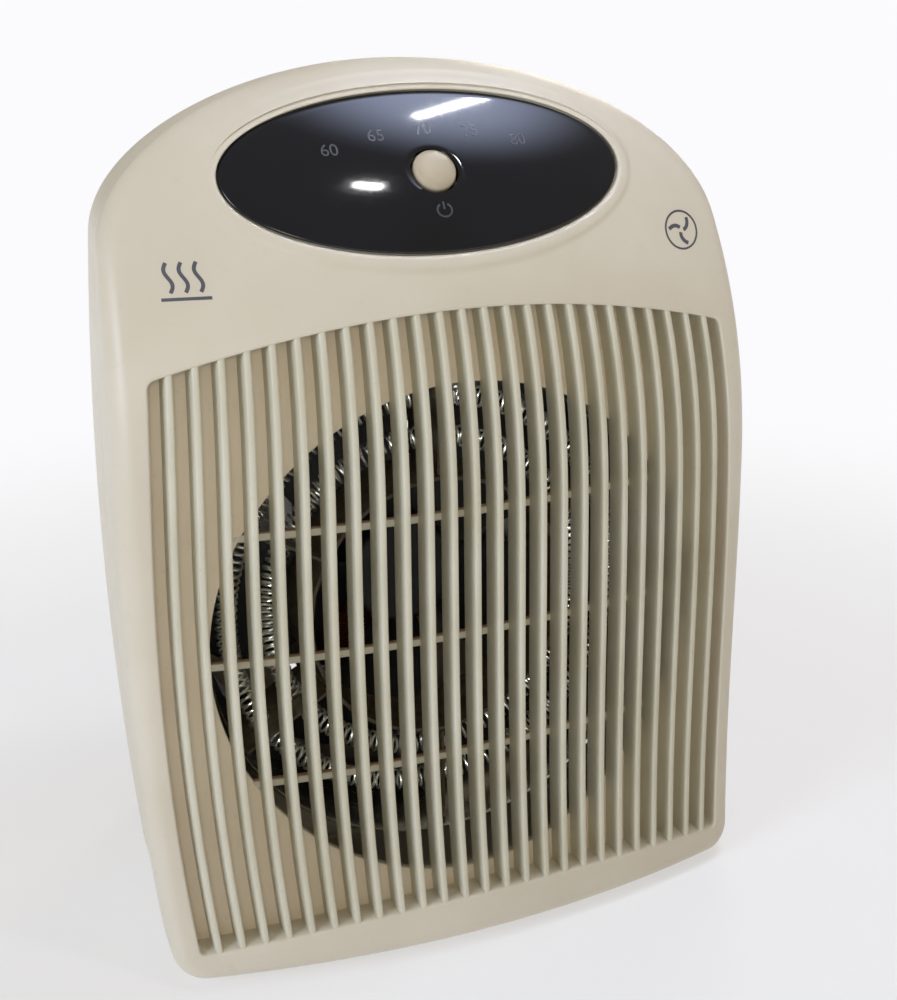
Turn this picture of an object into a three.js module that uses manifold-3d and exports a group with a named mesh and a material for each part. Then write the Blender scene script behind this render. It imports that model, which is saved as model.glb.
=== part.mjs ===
// Compact electric fan heater: two moulded shells, a slatted air outlet, a tilted control panel,
// an open-coil element in a metal duct, and an axial fan on a shaded-pole motor.
// Millimetres. +Z is up, the front faces -Y, the shells meet on the plane y = 0.
import * as THREE from 'three';
import { mergeVertices } from 'three/addons/utils/BufferGeometryUtils.js';
import Module from 'manifold-3d';

const wasm = await Module();
wasm.setup();

// Overall sizes
const overallWidth = 214;
const overallHeight = 280;
const overallDepth = 150;
const footHeight = 3;
const gap = 0.3;

// Shells
const shellWall = 2.5;
const edgeRadius = 6;
const widestHeight = 118;
const sideBarrel = 5.5;
const shoulderRise = 50;
const bottomCorner = 9;
const frontTaper = 5.5;
const taperStart = 46;
const rearSideTaper = 15;
const rearTopDrop = 20;
const rearCorner = 12;
const outlineSteps = 6;

// Front face: bowed from side to side, swept forward at the foot, leaning back at the top
const faceBow = 15.5;
const footSweep = 8.6;
const sweepStart = 123;
const topLean = 60;
const crestInset = 2;
const leanStart = 143;
const leanPower = 2.465;

// Air outlet
const slatPitch = 7.3;
const slatWidth = 2.2;
const slatInset = 0.3;
const grilleBottom = 18;
const grilleTopMargin = 69.5;
const grilleSideMargin = 13.6;
const grilleBarrel = 0.054;
const grilleWidestDrop = 15;
const grilleTopArch = 0.00157;
const grilleBottomArch = 0.00061;
const pocketDepth = 9;
const pocketFloor = 2.2;
const openingMargin = 11.4;
const openingRise = 5.5;
const guardBarHeight = 2.8;
const guardBarPitch = 41.4;
const guardBarCount = 3;

// Control panel
const lensTopMargin = 31.5;
const lensHalfWidth = 65.3;
const lensHalfHeight = 22.4;
const lensThickness = 2.2;
const lensCrown = 1.4;
const panelFloor = 3.1;
const rimWidth = 4;
const rimRise = 0.8;
const buttonRadius = 6.75;
const buttonClearance = 0.8;
const buttonProud = 2;
const buttonTravel = 1.2;
const boardWidth = 92;
const boardHeight = 30;
const boardThickness = 1.6;
const boardDepth = 16;
const ledCount = 5;
const ledPitch = 15.5;
const ledRadius = 1.5;
const ledRise = -10;
const ledArch = 0.7;

// Element and fan
const ductSteps = 32;
const ductWall = 1;
const ductLength = 36;
const ductRear = -4.3;
const flangeWidth = 6;
const finCount = 6;
const finThickness = 1;
const finWidth = 26;
const coilRadius = 3.8;
const coilSpacing = 14;
const coilClearance = 0.6;
const impellerClearance = 3.5;
const bladeCount = 5;
const bladeStart = -0.42;
const hubRadius = 20;
const impellerDepth = 16;
const bladeThickness = 1.6;
const shroudWall = 2.5;
const shroudDepth = 26;
const shroudLipWidth = 13;
const shaftRadius = 2;

// Motor
const coreHalfWidth = 31;
const coreTop = 24;
const coreBottom = 46;
const coreDepth = 16;
const rotorRadius = 14.6;
const airGap = 0.7;
const bearingRadius = 5;
const bridgeThickness = 3.5;
const strapThickness = 1.5;
const strapHeight = 18;

// Rear shell features
const slotPitch = 7.4;
const slotHeight = 4;
const slotWidth = 24;
const slotRib = 4;
const slotColumns = 4;
const gripWidth = 90;
const gripHeight = 24;
const gripDepth = 22;
const gripTopMargin = 44;
const powerBoardDrop = 19;
const powerBoardRise = 15;
const glandRadius = 6;
const glandPostSpace = 20;
const glandZ = 27;
const columnRadius = 5.5;
const columnX = 60;
const lowerColumnZ = 17;
const upperColumnTopMargin = 58;
const footRadius = 7;
const footX = 70;
const footY = 46;
const roundSteps = 12;

// Bosses, screws and their holes
const caseBossRadius = 4.5;
const casePilotRadius = 2;
const casePilotDepth = 16;
const casePassageRadius = 2.1;
const counterboreRadius = 4;
const caseScrewSeat = 14;
const caseScrewLength = 28;
const shroudPostRadius = 4.5;
const shroudPilotRadius = 1.6;
const shroudPilotDepth = 16;
const shroudHoleRadius = 2;
const shroudEarRadius = 8;
const shroudFlange = 2;
const boardPostRadius = 3.5;
const boardPilotRadius = 1.5;
const boardPilotDepth = 11;
const boardHoleRadius = 1.7;
const panelBossRadius = 3;
const strapHoleRadius = 1.8;
const motorHoleRadius = 1.9;
const bridgeHalfHeight = 7;
const bridgeFootWidth = 9;
const bridgeStandoff = 2.4;

// Switches, relays, thermostat and lead
const tactHalfWidth = 5;
const tactPlungerRadius = 1.7;
const tactPlungerDepth = 1.4;
const tactPlungerRise = 1.9;
const buttonStem = 8;
const buttonStemRadius = 2.6;
const powerBoardHalfWidth = 44;
const relayX = 14;
const relayHalfWidth = 9.5;
const relayDepth = 15;
const relayDrop = 12;
const relayRise = 4;
const cutoffHalfWidth = 9;
const cutoffHalfDepth = 5;
const cutoffHeight = 6;
const cutoffFlangeRadius = 6;
const fuseRadius = 2;
const fuseHalfLength = 6;
const glandBore = 2.4;
const glandDepth = 9;
const glandFlange = 2;
const tipPlungerRadius = 2.5;
const leadRadius = 1.3;

// Derived sizes
const frontY = -overallDepth / 2;
const rearY = overallDepth / 2;
const bodyBottom = footHeight;
const faceSetback = footSweep * (1 - edgeRadius / (sweepStart - bodyBottom)) ** 3;
const shoulderZ = overallHeight - shoulderRise;
const grilleTop = overallHeight - grilleTopMargin;
const grilleHalfWidth = overallWidth / 2 - grilleSideMargin;
const slatCount = 2 * Math.floor(grilleHalfWidth / slatPitch) + 1;
const openingRadius = Math.min(grilleHalfWidth, (grilleTop - grilleBottom) / 2) - openingMargin;
const axisZ = grilleBottom + openingRadius + openingRise;
const lensZ = overallHeight - lensTopMargin;
const ductRadius = openingRadius - 2;
const shroudRadius = ductRadius - 4;
const bladeTip = shroudRadius - impellerClearance;
const boltCircle = shroudRadius + shroudLipWidth + 7;
const postReach = boltCircle * Math.SQRT1_2;
const glandX = -(postReach - glandPostSpace);
const shroudFront = ductRear + gap;
const shroudRear = shroudFront + shroudDepth;
const impellerFront = shroudFront + 3;
const strapFront = shroudRear + gap;
const bridgeFront = strapFront + strapThickness + gap;
const coreFront = bridgeFront + bridgeThickness + bridgeStandoff;
const coreRear = coreFront + coreDepth;
const gripTop = overallHeight - gripTopMargin;

// Finishes
function finish(color, roughness, metalness) {
  return new THREE.MeshStandardMaterial({ color, roughness, metalness });
}

const ivoryPlastic = finish(0xcfc9ba, 0.5, 0);
const darkLens = finish(0x14161f, 0.08, 0);
const blackPlastic = finish(0x161617, 0.55, 0);
const blackRubber = finish(0x1c1c1c, 0.9, 0);
const steel = finish(0xb4b4b0, 0.35, 1);
const brightSteel = finish(0xd8d8d6, 0.18, 1);
const wireMetal = finish(0x8e8a84, 0.35, 1);
const mica = finish(0x9a8f78, 0.6, 0);
const boardGreen = finish(0x2f6b3a, 0.5, 0);
const copper = finish(0xb0682f, 0.35, 1);
const bronze = finish(0xa9814a, 0.4, 1);
const laminations = finish(0x6d6c6a, 0.5, 1);
const relayBlue = finish(0x2b4f8c, 0.5, 0);
const ledRed = finish(0xa8281e, 0.3, 0);
const leadInsulation = finish(0xd8d4c8, 0.7, 0);
const whiteCeramic = finish(0xe6e2d8, 0.6, 0);

const heater = new THREE.Group();

// ---------- shape helpers ----------

// A closed surface as a solid, turned outwards where its faces point in
function solidOf(geometry) {
  const bare = geometry.clone();
  bare.deleteAttribute('normal');
  bare.deleteAttribute('uv');
  const merged = mergeVertices(bare, 1e-4);
  const points = merged.attributes.position.array;
  const corners = merged.index.array;
  const kept = [];
  let volume = 0;
  for (let i = 0; i < corners.length; i += 3) {
    const [a, b, c] = [corners[i], corners[i + 1], corners[i + 2]];
    if (a === b || b === c || c === a) continue;
    kept.push(a, b, c);
    volume += tripleProduct(points, a, b, c);
  }
  if (volume < 0) kept.reverse();
  const mesh = new wasm.Mesh({
    numProp: 3,
    vertProperties: new Float32Array(points),
    triVerts: new Uint32Array(kept),
  });
  return new wasm.Manifold(mesh);
}

function tripleProduct(points, a, b, c) {
  const pa = new THREE.Vector3().fromArray(points, a * 3);
  const pb = new THREE.Vector3().fromArray(points, b * 3);
  const pc = new THREE.Vector3().fromArray(points, c * 3);
  return pa.dot(pb.cross(pc));
}

function geometryOf(solid) {
  const mesh = solid.getMesh();
  const geometry = new THREE.BufferGeometry();
  geometry.setAttribute('position', new THREE.Float32BufferAttribute(mesh.vertProperties, 3));
  geometry.setIndex(Array.from(mesh.triVerts));
  geometry.computeVertexNormals();
  return geometry;
}

function addPart(name, solid, material, parent = heater) {
  const mesh = new THREE.Mesh(geometryOf(solid), material);
  mesh.name = name;
  parent.add(mesh);
  return mesh;
}

function unite(solids) {
  return solids.reduce((whole, piece) => whole.add(piece));
}

// A skin over a row of closed rings of points, each end closed by a fan
function loft(rings) {
  const count = rings[0].length;
  const points = rings.flat();
  const corners = [];
  for (let r = 0; r + 1 < rings.length; r++) {
    for (let i = 0; i < count; i++) {
      const j = (i + 1) % count;
      const [a, b] = [r * count + i, r * count + j];
      const [c, d] = [a + count, b + count];
      corners.push(a, b, d, a, d, c);
    }
  }
  for (const [r, flip] of [[0, true], [rings.length - 1, false]]) {
    const centre = new THREE.Vector3();
    rings[r].forEach((point) => centre.add(point));
    const hub = points.push(centre.divideScalar(count)) - 1;
    for (let i = 0; i < count; i++) {
      const [a, b] = [r * count + i, r * count + ((i + 1) % count)];
      if (flip) corners.push(hub, b, a);
      else corners.push(hub, a, b);
    }
  }
  const geometry = new THREE.BufferGeometry().setFromPoints(points);
  geometry.setIndex(corners);
  return solidOf(geometry);
}

// A box whose points (each from -1 to 1) are carried to their place by a function
function shapedBox(across, deep, tall, place) {
  const geometry = new THREE.BoxGeometry(2, 2, 2, across, deep, tall);
  const position = geometry.attributes.position;
  const point = new THREE.Vector3();
  for (let i = 0; i < position.count; i++) {
    point.fromBufferAttribute(position, i);
    const placed = place(point.x, point.y, point.z);
    position.setXYZ(i, placed.x, placed.y, placed.z);
  }
  return solidOf(geometry);
}

function box([x0, x1], [y0, y1], [z0, z1]) {
  const geometry = new THREE.BoxGeometry(x1 - x0, y1 - y0, z1 - z0);
  geometry.translate((x0 + x1) / 2, (y0 + y1) / 2, (z0 + z1) / 2);
  return solidOf(geometry);
}

// A round bar along Y
function rod(radius, y0, y1, x = 0, z = 0, steps = roundSteps) {
  const geometry = new THREE.CylinderGeometry(radius, radius, y1 - y0, steps);
  geometry.translate(x, (y0 + y1) / 2, z);
  return solidOf(geometry);
}

// A round bar along Z
function post(radius, z0, z1, x, y, steps = roundSteps) {
  const geometry = new THREE.CylinderGeometry(radius, radius, z1 - z0, steps);
  geometry.rotateX(Math.PI / 2);
  geometry.translate(x, y, (z0 + z1) / 2);
  return solidOf(geometry);
}

// A closed section of [radius, y] points turned about the line through x, z
function turned(section, x, z, steps) {
  const points = section.map(([radius, y]) => new THREE.Vector2(radius, y));
  const geometry = new THREE.LatheGeometry([...points, points[0].clone()], steps);
  geometry.translate(x, 0, z);
  return solidOf(geometry);
}

// A square-edged ring about the fan axis
function ring(inner, outer, y0, y1, steps, z = axisZ) {
  return turned([[inner, y0], [outer, y0], [outer, y1], [inner, y1]], 0, z, steps);
}

// A screw with a pan head, its head's underside at y = seat and its shank running towards -Y
function screw(shank, head, headHeight, seat, length, x, z) {
  return rod(head, seat, seat + headHeight, x, z, 12).add(rod(shank, seat - length, seat + 0.5, x, z, 10));
}

// ---------- shell form ----------

function sideAt(z) {
  const reach = (z - widestHeight) / (widestHeight - bodyBottom);
  return overallWidth / 2 - sideBarrel * reach * reach;
}

// The right half of the widest section, from the middle of the bottom to the crest
function halfOutline() {
  const half = [];
  const cornerX = sideAt(bodyBottom) - bottomCorner;
  for (let i = 1; i < outlineSteps; i++) half.push([(cornerX * i) / outlineSteps, bodyBottom]);
  for (let i = 0; i < 4; i++) {
    const turn = (i / 4) * (Math.PI / 2);
    half.push([cornerX + bottomCorner * Math.sin(turn), bodyBottom + bottomCorner * (1 - Math.cos(turn))]);
  }
  for (let i = 0; i < outlineSteps; i++) {
    const z = THREE.MathUtils.lerp(bodyBottom + bottomCorner, shoulderZ, i / outlineSteps);
    half.push([sideAt(z), z]);
  }
  for (let i = 0; i < outlineSteps; i++) {
    const turn = (i / outlineSteps) * (Math.PI / 2);
    const z = shoulderZ + shoulderRise * Math.sin(turn);
    half.push([sideAt(z) * Math.cos(turn), z]);
  }
  return half;
}

const rightHalf = halfOutline();
const outline = [
  [0, bodyBottom],
  ...rightHalf,
  [0, overallHeight],
  ...rightHalf.map(([x, z]) => [-x, z]).reverse(),
];

// How far the sides and the top have drawn in at a depth y
function sideDraw(y) {
  const front = frontTaper * THREE.MathUtils.clamp((y + taperStart) / taperStart, 0, 1);
  return front + (rearSideTaper * Math.max(0, y) ** 2) / rearY ** 2;
}

function topDraw(y) {
  return (rearTopDrop * Math.max(0, y) ** 2) / rearY ** 2;
}

// The shell's section at depth y, drawn in evenly by an inset
function section(y, inset = 0) {
  const middle = (bodyBottom + overallHeight) / 2;
  const tall = overallHeight - middle;
  const narrow = (overallWidth / 2 - sideDraw(y) - inset) / (overallWidth / 2);
  const top = (tall - topDraw(y) - inset) / tall;
  const bottom = (tall - inset) / tall;
  return outline.map(([x, z]) => {
    const rise = z - middle;
    return new THREE.Vector3(x * narrow, y, middle + rise * (rise > 0 ? top : bottom));
  });
}

function faceY(x, z) {
  const bow = faceBow * (x / (overallWidth / 2)) ** 2;
  const sweep = footSweep * Math.max(0, (sweepStart - z) / (sweepStart - bodyBottom)) ** 3;
  const leanReach = overallHeight - crestInset - leanStart;
  const lean = topLean * Math.max(0, (z - leanStart) / leanReach) ** leanPower;
  return frontY + faceSetback + bow - sweep + lean;
}

// The rounded front of the shell down to depth y = back, set in by a wall
function frontForm(inset, back) {
  const radius = edgeRadius - inset * 0.6;
  const centre = [0, (bodyBottom + overallHeight) / 2];
  const edge = section(-taperStart, inset).map((point) => {
    const reach = Math.hypot(point.x, point.z - centre[1]);
    return { point, reach, start: 1 - radius / reach };
  });
  const ringAt = (share, turn) => edge.map(({ point, start }) => {
    const scale = share * (start + (1 - start) * Math.sin(turn));
    const x = point.x * scale;
    const z = centre[1] + (point.z - centre[1]) * scale;
    return new THREE.Vector3(x, faceY(x, z) + inset + radius * (1 - Math.cos(turn)), z);
  });
  const rings = [];
  for (const share of [0.2, 0.5, 0.75]) rings.push(ringAt(share, 0));
  for (const turn of [0, 0.4, 0.85]) rings.push(ringAt(1, (turn * Math.PI) / 2));
  const last = rings[rings.length - 1];
  const seam = section(0, inset);
  rings.push(last.map((point, i) => seam[i].clone().lerp(point, 0.55).setY(point.y * 0.55)));
  rings.push(section(0, inset));
  if (back > 0) rings.push(section(0, inset).map((point) => point.setY(back)));
  return loft(rings);
}

// The rear of the shell from the seam to the back wall, set in by a wall
function rearForm(inset, start) {
  const radius = rearCorner - inset;
  const back = rearY - inset;
  const rings = [section(0, inset).map((point) => point.setY(start))];
  rings.push(section((back - radius) * 0.55, inset));
  for (const turn of [0, 0.4, 0.75, 1]) {
    const angle = (turn * Math.PI) / 2;
    const drawn = radius * (1 - Math.cos(angle));
    rings.push(section(back - radius + radius * Math.sin(angle), inset + drawn));
  }
  return loft(rings);
}

// ---------- front cover ----------

function grilleScale(z) {
  return 1 + grilleBarrel * (1 - ((z - widestHeight + grilleWidestDrop) / 100) ** 2);
}

// A slab that follows the face over the outlet, from one depth behind the face to another
function outletSlab(margin, nearDepth, farDepth) {
  return shapedBox(8, 1, 7, (u, v, w) => {
    const flatX = u * (grilleHalfWidth + margin);
    const low = grilleBottom - margin - grilleBottomArch * flatX * flatX;
    const high = grilleTop + margin - grilleTopArch * flatX * flatX;
    const z = THREE.MathUtils.lerp(low, high, (w + 1) / 2);
    const x = flatX * grilleScale(z);
    return new THREE.Vector3(x, faceY(x, z) + (v < 0 ? nearDepth : farDepth), z);
  });
}

function slat(index) {
  const flatX = (index - (slatCount - 1) / 2) * slatPitch;
  const low = grilleBottom - 0.8 - grilleBottomArch * flatX * flatX;
  const high = grilleTop + 0.8 - grilleTopArch * flatX * flatX;
  return shapedBox(1, 1, 7, (u, v, w) => {
    const z = THREE.MathUtils.lerp(low, high, (w + 1) / 2);
    const x = flatX * grilleScale(z) + (u * slatWidth) / 2;
    return new THREE.Vector3(x, faceY(x, z) + (v < 0 ? slatInset : pocketDepth + 0.4), z);
  });
}

function guardBar(index) {
  const middle = axisZ + (index - (guardBarCount - 1) / 2) * guardBarPitch;
  const halfChord = Math.sqrt(openingRadius ** 2 - (middle - axisZ) ** 2) + 2;
  return shapedBox(5, 1, 1, (u, v, w) => {
    const x = u * halfChord;
    const z = middle + (w * guardBarHeight) / 2;
    return new THREE.Vector3(x, faceY(x, z) + (v < 0 ? pocketDepth : pocketDepth + pocketFloor - 0.05), z);
  });
}

// An elliptical disc that follows the face at the control panel
function panelDisc(grow, nearDepth, farDepth, crown = 0) {
  const steps = 24;
  const ringOf = (share, depth, lift) => Array.from({ length: steps }, (_, i) => {
    const angle = (i / steps) * Math.PI * 2;
    const x = share * (lensHalfWidth + grow) * Math.cos(angle);
    const z = lensZ + share * (lensHalfHeight + grow) * Math.sin(angle);
    return new THREE.Vector3(x, faceY(x, z) + depth - lift * (1 - share * share), z);
  });
  const near = [0.2, 0.65, 1].map((share) => ringOf(share, nearDepth, crown));
  const far = [1, 0.65, 0.2].map((share) => ringOf(share, farDepth, 0));
  return loft([...near, ...far]);
}

// The panel's own frame: its origin on the face at the middle of the lens, +Y pointing out of it
const panelY = faceY(0, lensZ);
const panelSlope = faceY(0, lensZ + 1) - faceY(0, lensZ - 1);
const panelTilt = Math.PI - Math.atan2(panelSlope / 2, 1);

// How far a depth behind the face, at a distance across the panel, lies below the panel frame's origin
function panelDrop(x, depth) {
  return (faceY(x, lensZ) - panelY + depth) * Math.cos(Math.atan(panelSlope / 2));
}

function tilted(solid) {
  const matrix = new THREE.Matrix4().makeRotationX(panelTilt);
  matrix.setPosition(0, panelY, lensZ);
  return solid.transform(matrix.toArray());
}

const columns = [];
for (const side of [-1, 1]) {
  columns.push([side * columnX, lowerColumnZ]);
  columns.push([side * columnX, overallHeight - upperColumnTopMargin]);
}
const boardScrewX = boardWidth / 2 - 6;
const boardFront = -boardDepth + boardThickness;
const ledPlaces = [];
for (let i = 0; i < ledCount; i++) {
  const offset = i - (ledCount - 1) / 2;
  ledPlaces.push([offset * ledPitch, ledRise + ledArch * offset * offset]);
}

function frontCover() {
  const shell = frontForm(0, 0).subtract(frontForm(shellWall, 2));
  const padded = unite([
    shell,
    outletSlab(2, 1.2, pocketDepth + pocketFloor),
    panelDisc(rimWidth, -rimRise, lensThickness + gap + panelFloor),
  ]);
  const opened = padded
    .subtract(outletSlab(0, -12, pocketDepth))
    .subtract(rod(openingRadius, frontY - 5, frontY + 50, 0, axisZ, 36))
    .subtract(panelDisc(gap, -12, lensThickness + gap))
    .subtract(tilted(rod(buttonRadius + buttonClearance, -20, 20, 0, 0, 20)));
  const pieces = [opened];
  for (let i = 0; i < slatCount; i++) pieces.push(slat(i));
  for (let i = 0; i < guardBarCount; i++) pieces.push(guardBar(i));
  for (const [x, z] of columns) {
    const inGrille = z < grilleTop;
    const start = faceY(x, z) + (inGrille ? pocketDepth + 1 : 1.5);
    pieces.push(rod(caseBossRadius, start, 0, x, z));
  }
  for (const side of [-1, 1]) {
    const bossTop = -panelDrop(boardScrewX, lensThickness + gap + panelFloor / 2);
    pieces.push(tilted(rod(panelBossRadius, boardFront + gap, bossTop, side * boardScrewX, 0, 10)));
  }
  let cover = unite(pieces);
  for (const [x, z] of columns) cover = cover.subtract(rod(casePilotRadius, -casePilotDepth, 1, x, z, 10));
  for (const side of [-1, 1]) {
    const pilotTop = boardFront + 5.4;
    cover = cover.subtract(tilted(rod(boardPilotRadius, -boardDepth, pilotTop, side * boardScrewX, 0, 8)));
  }
  for (const [x, rise] of ledPlaces) {
    cover = cover.subtract(tilted(rod(ledRadius + 0.7, -9, 2, x, rise, 8)));
  }
  return cover.subtract(box([-200, 200], [-gap / 2, 20], [-10, 400]));
}

addPart('front_cover', frontCover(), ivoryPlastic);

// ---------- rear housing ----------

const shroudPosts = [1, 3, 5, 7].map((eighth) => {
  const angle = (eighth * Math.PI) / 4;
  return [boltCircle * Math.cos(angle), axisZ + boltCircle * Math.sin(angle)];
});
const tipSwitch = {
  x: 44,
  y: 40,
  width: 20,
  depth: 14,
  height: 20,
  bottom: bodyBottom + shellWall + gap,
};
const gripFloorY = rearY - gripDepth;
const powerBoardY = gripFloorY - shellWall - 14;
const powerPostX = 36;
const powerBoardZ = gripTop - gripHeight / 2;

function intakeSlots() {
  const slots = [];
  const reach = shroudRadius - 6;
  const rows = Math.floor(reach / slotPitch);
  for (let row = -rows; row <= rows; row++) {
    for (let column = 0; column < slotColumns; column++) {
      const x = (column - (slotColumns - 1) / 2) * (slotWidth + slotRib);
      const z = axisZ + row * slotPitch;
      const half = slotWidth / 2;
      const inReach = Math.hypot(Math.abs(x) + half, z - axisZ) <= reach + 2;
      if (inReach) {
        const tall = [z - slotHeight / 2, z + slotHeight / 2];
        slots.push(box([x - half, x + half], [rearY - shellWall - 1, rearY + 1], tall));
      }
    }
  }
  return slots;
}

function rearHousing() {
  const grip = [
    [-gripWidth / 2, gripWidth / 2],
    [gripFloorY, rearY + 2],
    [gripTop - gripHeight, gripTop],
  ];
  const gripShell = grip.map(([low, high]) => [low - shellWall, high + shellWall]);
  gripShell[1][1] = rearY - 1;
  const pieces = [rearForm(0, gap / 2).subtract(rearForm(shellWall, -1)), box(...gripShell)];
  for (const [x, z] of columns) pieces.push(rod(columnRadius, gap / 2, rearY - 1, x, z));
  for (const [x, z] of shroudPosts) pieces.push(rod(shroudPostRadius, shroudRear + gap, rearY - 1, x, z));
  for (const side of [-1, 1]) {
    const start = powerBoardY + boardThickness + gap;
    pieces.push(rod(boardPostRadius, start, gripFloorY - 1, side * powerPostX, powerBoardZ, 10));
  }
  let housing = unite(pieces);
  housing = housing.subtract(box(...grip));
  for (const [x, z] of columns) {
    housing = housing.subtract(rod(counterboreRadius, caseScrewSeat, rearY + 1, x, z));
    housing = housing.subtract(rod(casePassageRadius, -1, caseScrewSeat + 1, x, z, 8));
  }
  for (const [x, z] of shroudPosts) {
    const pilotEnd = shroudRear + shroudPilotDepth;
    housing = housing.subtract(rod(shroudPilotRadius, shroudRear - 1, pilotEnd, x, z, 8));
  }
  for (const side of [-1, 1]) {
    const pilotEnd = powerBoardY + boardPilotDepth;
    const pilot = rod(boardPilotRadius, powerBoardY, pilotEnd, side * powerPostX, powerBoardZ, 8);
    housing = housing.subtract(pilot);
  }
  housing = housing.subtract(unite(intakeSlots()));
  housing = housing.subtract(rod(glandRadius + gap, rearY - 10, rearY + 1, glandX, glandZ, 16));
  housing = housing.subtract(post(tipPlungerRadius + 0.6, -1, 12, tipSwitch.x, tipSwitch.y));
  return housing;
}

addPart('rear_housing', rearHousing(), ivoryPlastic);

// ---------- feet and case screws ----------

[[-1, -1], [1, -1], [-1, 1], [1, 1]].forEach(([sideX, sideY], index) => {
  const foot = post(footRadius, 0, footHeight - gap, sideX * footX, sideY * footY, 20);
  addPart(`foot_${index + 1}`, foot, blackRubber);
});

columns.forEach(([x, z], index) => {
  const fastener = screw(1.7, 3.4, 2.4, caseScrewSeat + gap, caseScrewLength, x, z);
  addPart(`case_screw_${index + 1}`, fastener, steel);
});

// ---------- control panel ----------

const panel = new THREE.Group();
panel.position.set(0, panelY, lensZ);
panel.rotation.x = panelTilt;
heater.add(panel);

const lensBody = panelDisc(-gap, 0, lensThickness, lensCrown);
const buttonWell = tilted(rod(buttonRadius + buttonClearance, -20, 20, 0, 0, 24));
addPart('control_lens', lensBody.subtract(buttonWell), darkLens);

const stemBottom = -buttonStem;
const buttonSection = [
  [0, stemBottom],
  [buttonStemRadius, stemBottom],
  [buttonStemRadius, -1.6],
  [buttonRadius - 1, -1.6],
  [buttonRadius, -1],
  [buttonRadius, lensCrown + buttonProud - 0.9],
  [buttonRadius - 0.7, lensCrown + buttonProud - 0.2],
  [buttonRadius - 3, lensCrown + buttonProud + 0.2],
  [0, lensCrown + buttonProud + 0.4],
];
addPart('button_cap', turned(buttonSection, 0, 0, 18), ivoryPlastic, panel);

const switchTop = stemBottom - gap - tactPlungerRise;
const plungerBottom = switchTop - tactPlungerDepth;
const tactPlunger = rod(tactPlungerRadius, plungerBottom, stemBottom - gap, 0, 0);
addPart('switch_plunger', tactPlunger, blackPlastic, panel);
const tactSpan = [-tactHalfWidth, tactHalfWidth];
const tactWell = rod(tactPlungerRadius + 0.5, plungerBottom - buttonTravel - 0.5, 0, 0, 0);
const tactBody = box(tactSpan, [boardFront + gap, switchTop], tactSpan);
addPart('tact_switch', tactBody.subtract(tactWell), blackPlastic, panel);

const boardTall = [-boardHeight / 2, boardHeight / 2];
let board = box([-boardWidth / 2, boardWidth / 2], [-boardDepth, boardFront], boardTall);
for (const side of [-1, 1]) {
  const headTop = -boardDepth - gap;
  board = board.subtract(rod(boardHoleRadius, -boardDepth - 1, boardFront + 1, side * boardScrewX, 0, 10));
  const head = rod(2.8, headTop - 2, headTop, side * boardScrewX, 0);
  const shank = rod(1.2, headTop - 0.5, -boardDepth + 5, side * boardScrewX, 0, 8);
  addPart(`board_screw_${side < 0 ? 1 : 2}`, head.add(shank), steel, panel);
}
addPart('control_board', board, boardGreen, panel);

const ledCollar = ledRadius + 0.4;
const ledSection = [
  [0, boardFront + gap],
  [ledCollar, boardFront + gap],
  [ledCollar, boardFront + 1.3],
  [ledRadius, boardFront + 1.3],
  [ledRadius, -8],
  [ledRadius * 0.6, -7],
  [0, -6.6],
];
ledPlaces.forEach(([x, rise], index) => {
  addPart(`indicator_led_${index + 1}`, turned(ledSection, x, rise, 10), ledRed, panel);
});

// ---------- element ----------

const ductFront = ductRear - ductLength;
const duct = turned([
  [ductRadius, ductFront],
  [ductRadius + ductWall, ductFront],
  [ductRadius + ductWall, ductRear - ductWall],
  [ductRadius + flangeWidth, ductRear - ductWall],
  [ductRadius + flangeWidth, ductRear],
  [ductRadius, ductRear],
], 0, axisZ, ductSteps);
addPart('element_duct', duct, brightSteel);

const coilY = (ductFront + ductRear) / 2;
const outerCoil = ductRadius - 10;
const coilRings = [outerCoil, outerCoil - coilSpacing];
const finOuter = ductRadius * Math.cos(Math.PI / ductSteps) - gap;
const finInner = outerCoil - coilSpacing - coilRadius - 6;
coilRings.forEach((radius, index) => {
  const sectionPoints = [];
  for (let i = 0; i < 6; i++) {
    const angle = (i * Math.PI) / 3;
    sectionPoints.push([radius + coilRadius * Math.cos(angle), coilY + coilRadius * Math.sin(angle)]);
  }
  addPart(`heating_coil_${index + 1}`, turned(sectionPoints, 0, axisZ, 32), wireMetal);
});

const supportRing = ring(finInner - 1.5, finInner - gap, coilY - finWidth / 2, coilY + finWidth / 2, 24);
addPart('element_core_ring', supportRing, mica);

for (let i = 0; i < finCount; i++) {
  let fin = box([finInner + gap, finOuter], [coilY - finWidth / 2, coilY + finWidth / 2],
    [-finThickness / 2, finThickness / 2]);
  for (const radius of coilRings) {
    fin = fin.subtract(post(coilRadius + coilClearance, -5, 5, radius, coilY, 12));
  }
  const matrix = new THREE.Matrix4().makeRotationY(-((i + 0.5) * Math.PI * 2) / finCount);
  matrix.setPosition(0, 0, axisZ);
  addPart(`mica_fin_${i + 1}`, fin.transform(matrix.toArray()), mica);
}

// Limit thermostat and one-shot fuse, clamped on the outside of the duct
const cutoffZ = axisZ + ductRadius + ductWall + gap;
const cutoffCase = box(
  [-cutoffHalfWidth, cutoffHalfWidth],
  [coilY - cutoffHalfDepth, coilY + cutoffHalfDepth],
  [cutoffZ + 0.8, cutoffZ + cutoffHeight],
);
const cutoffFlange = post(cutoffFlangeRadius, cutoffZ, cutoffZ + 2, 0, coilY, 14);
addPart('thermal_cutoff', cutoffCase.add(cutoffFlange), whiteCeramic);
const fuseX = -(ductRadius + ductWall + fuseRadius + 1 + gap);
const fuse = post(fuseRadius, axisZ - fuseHalfLength, axisZ + fuseHalfLength, fuseX, coilY, 10);
addPart('thermal_fuse', fuse, whiteCeramic);

// ---------- fan ----------

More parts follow.
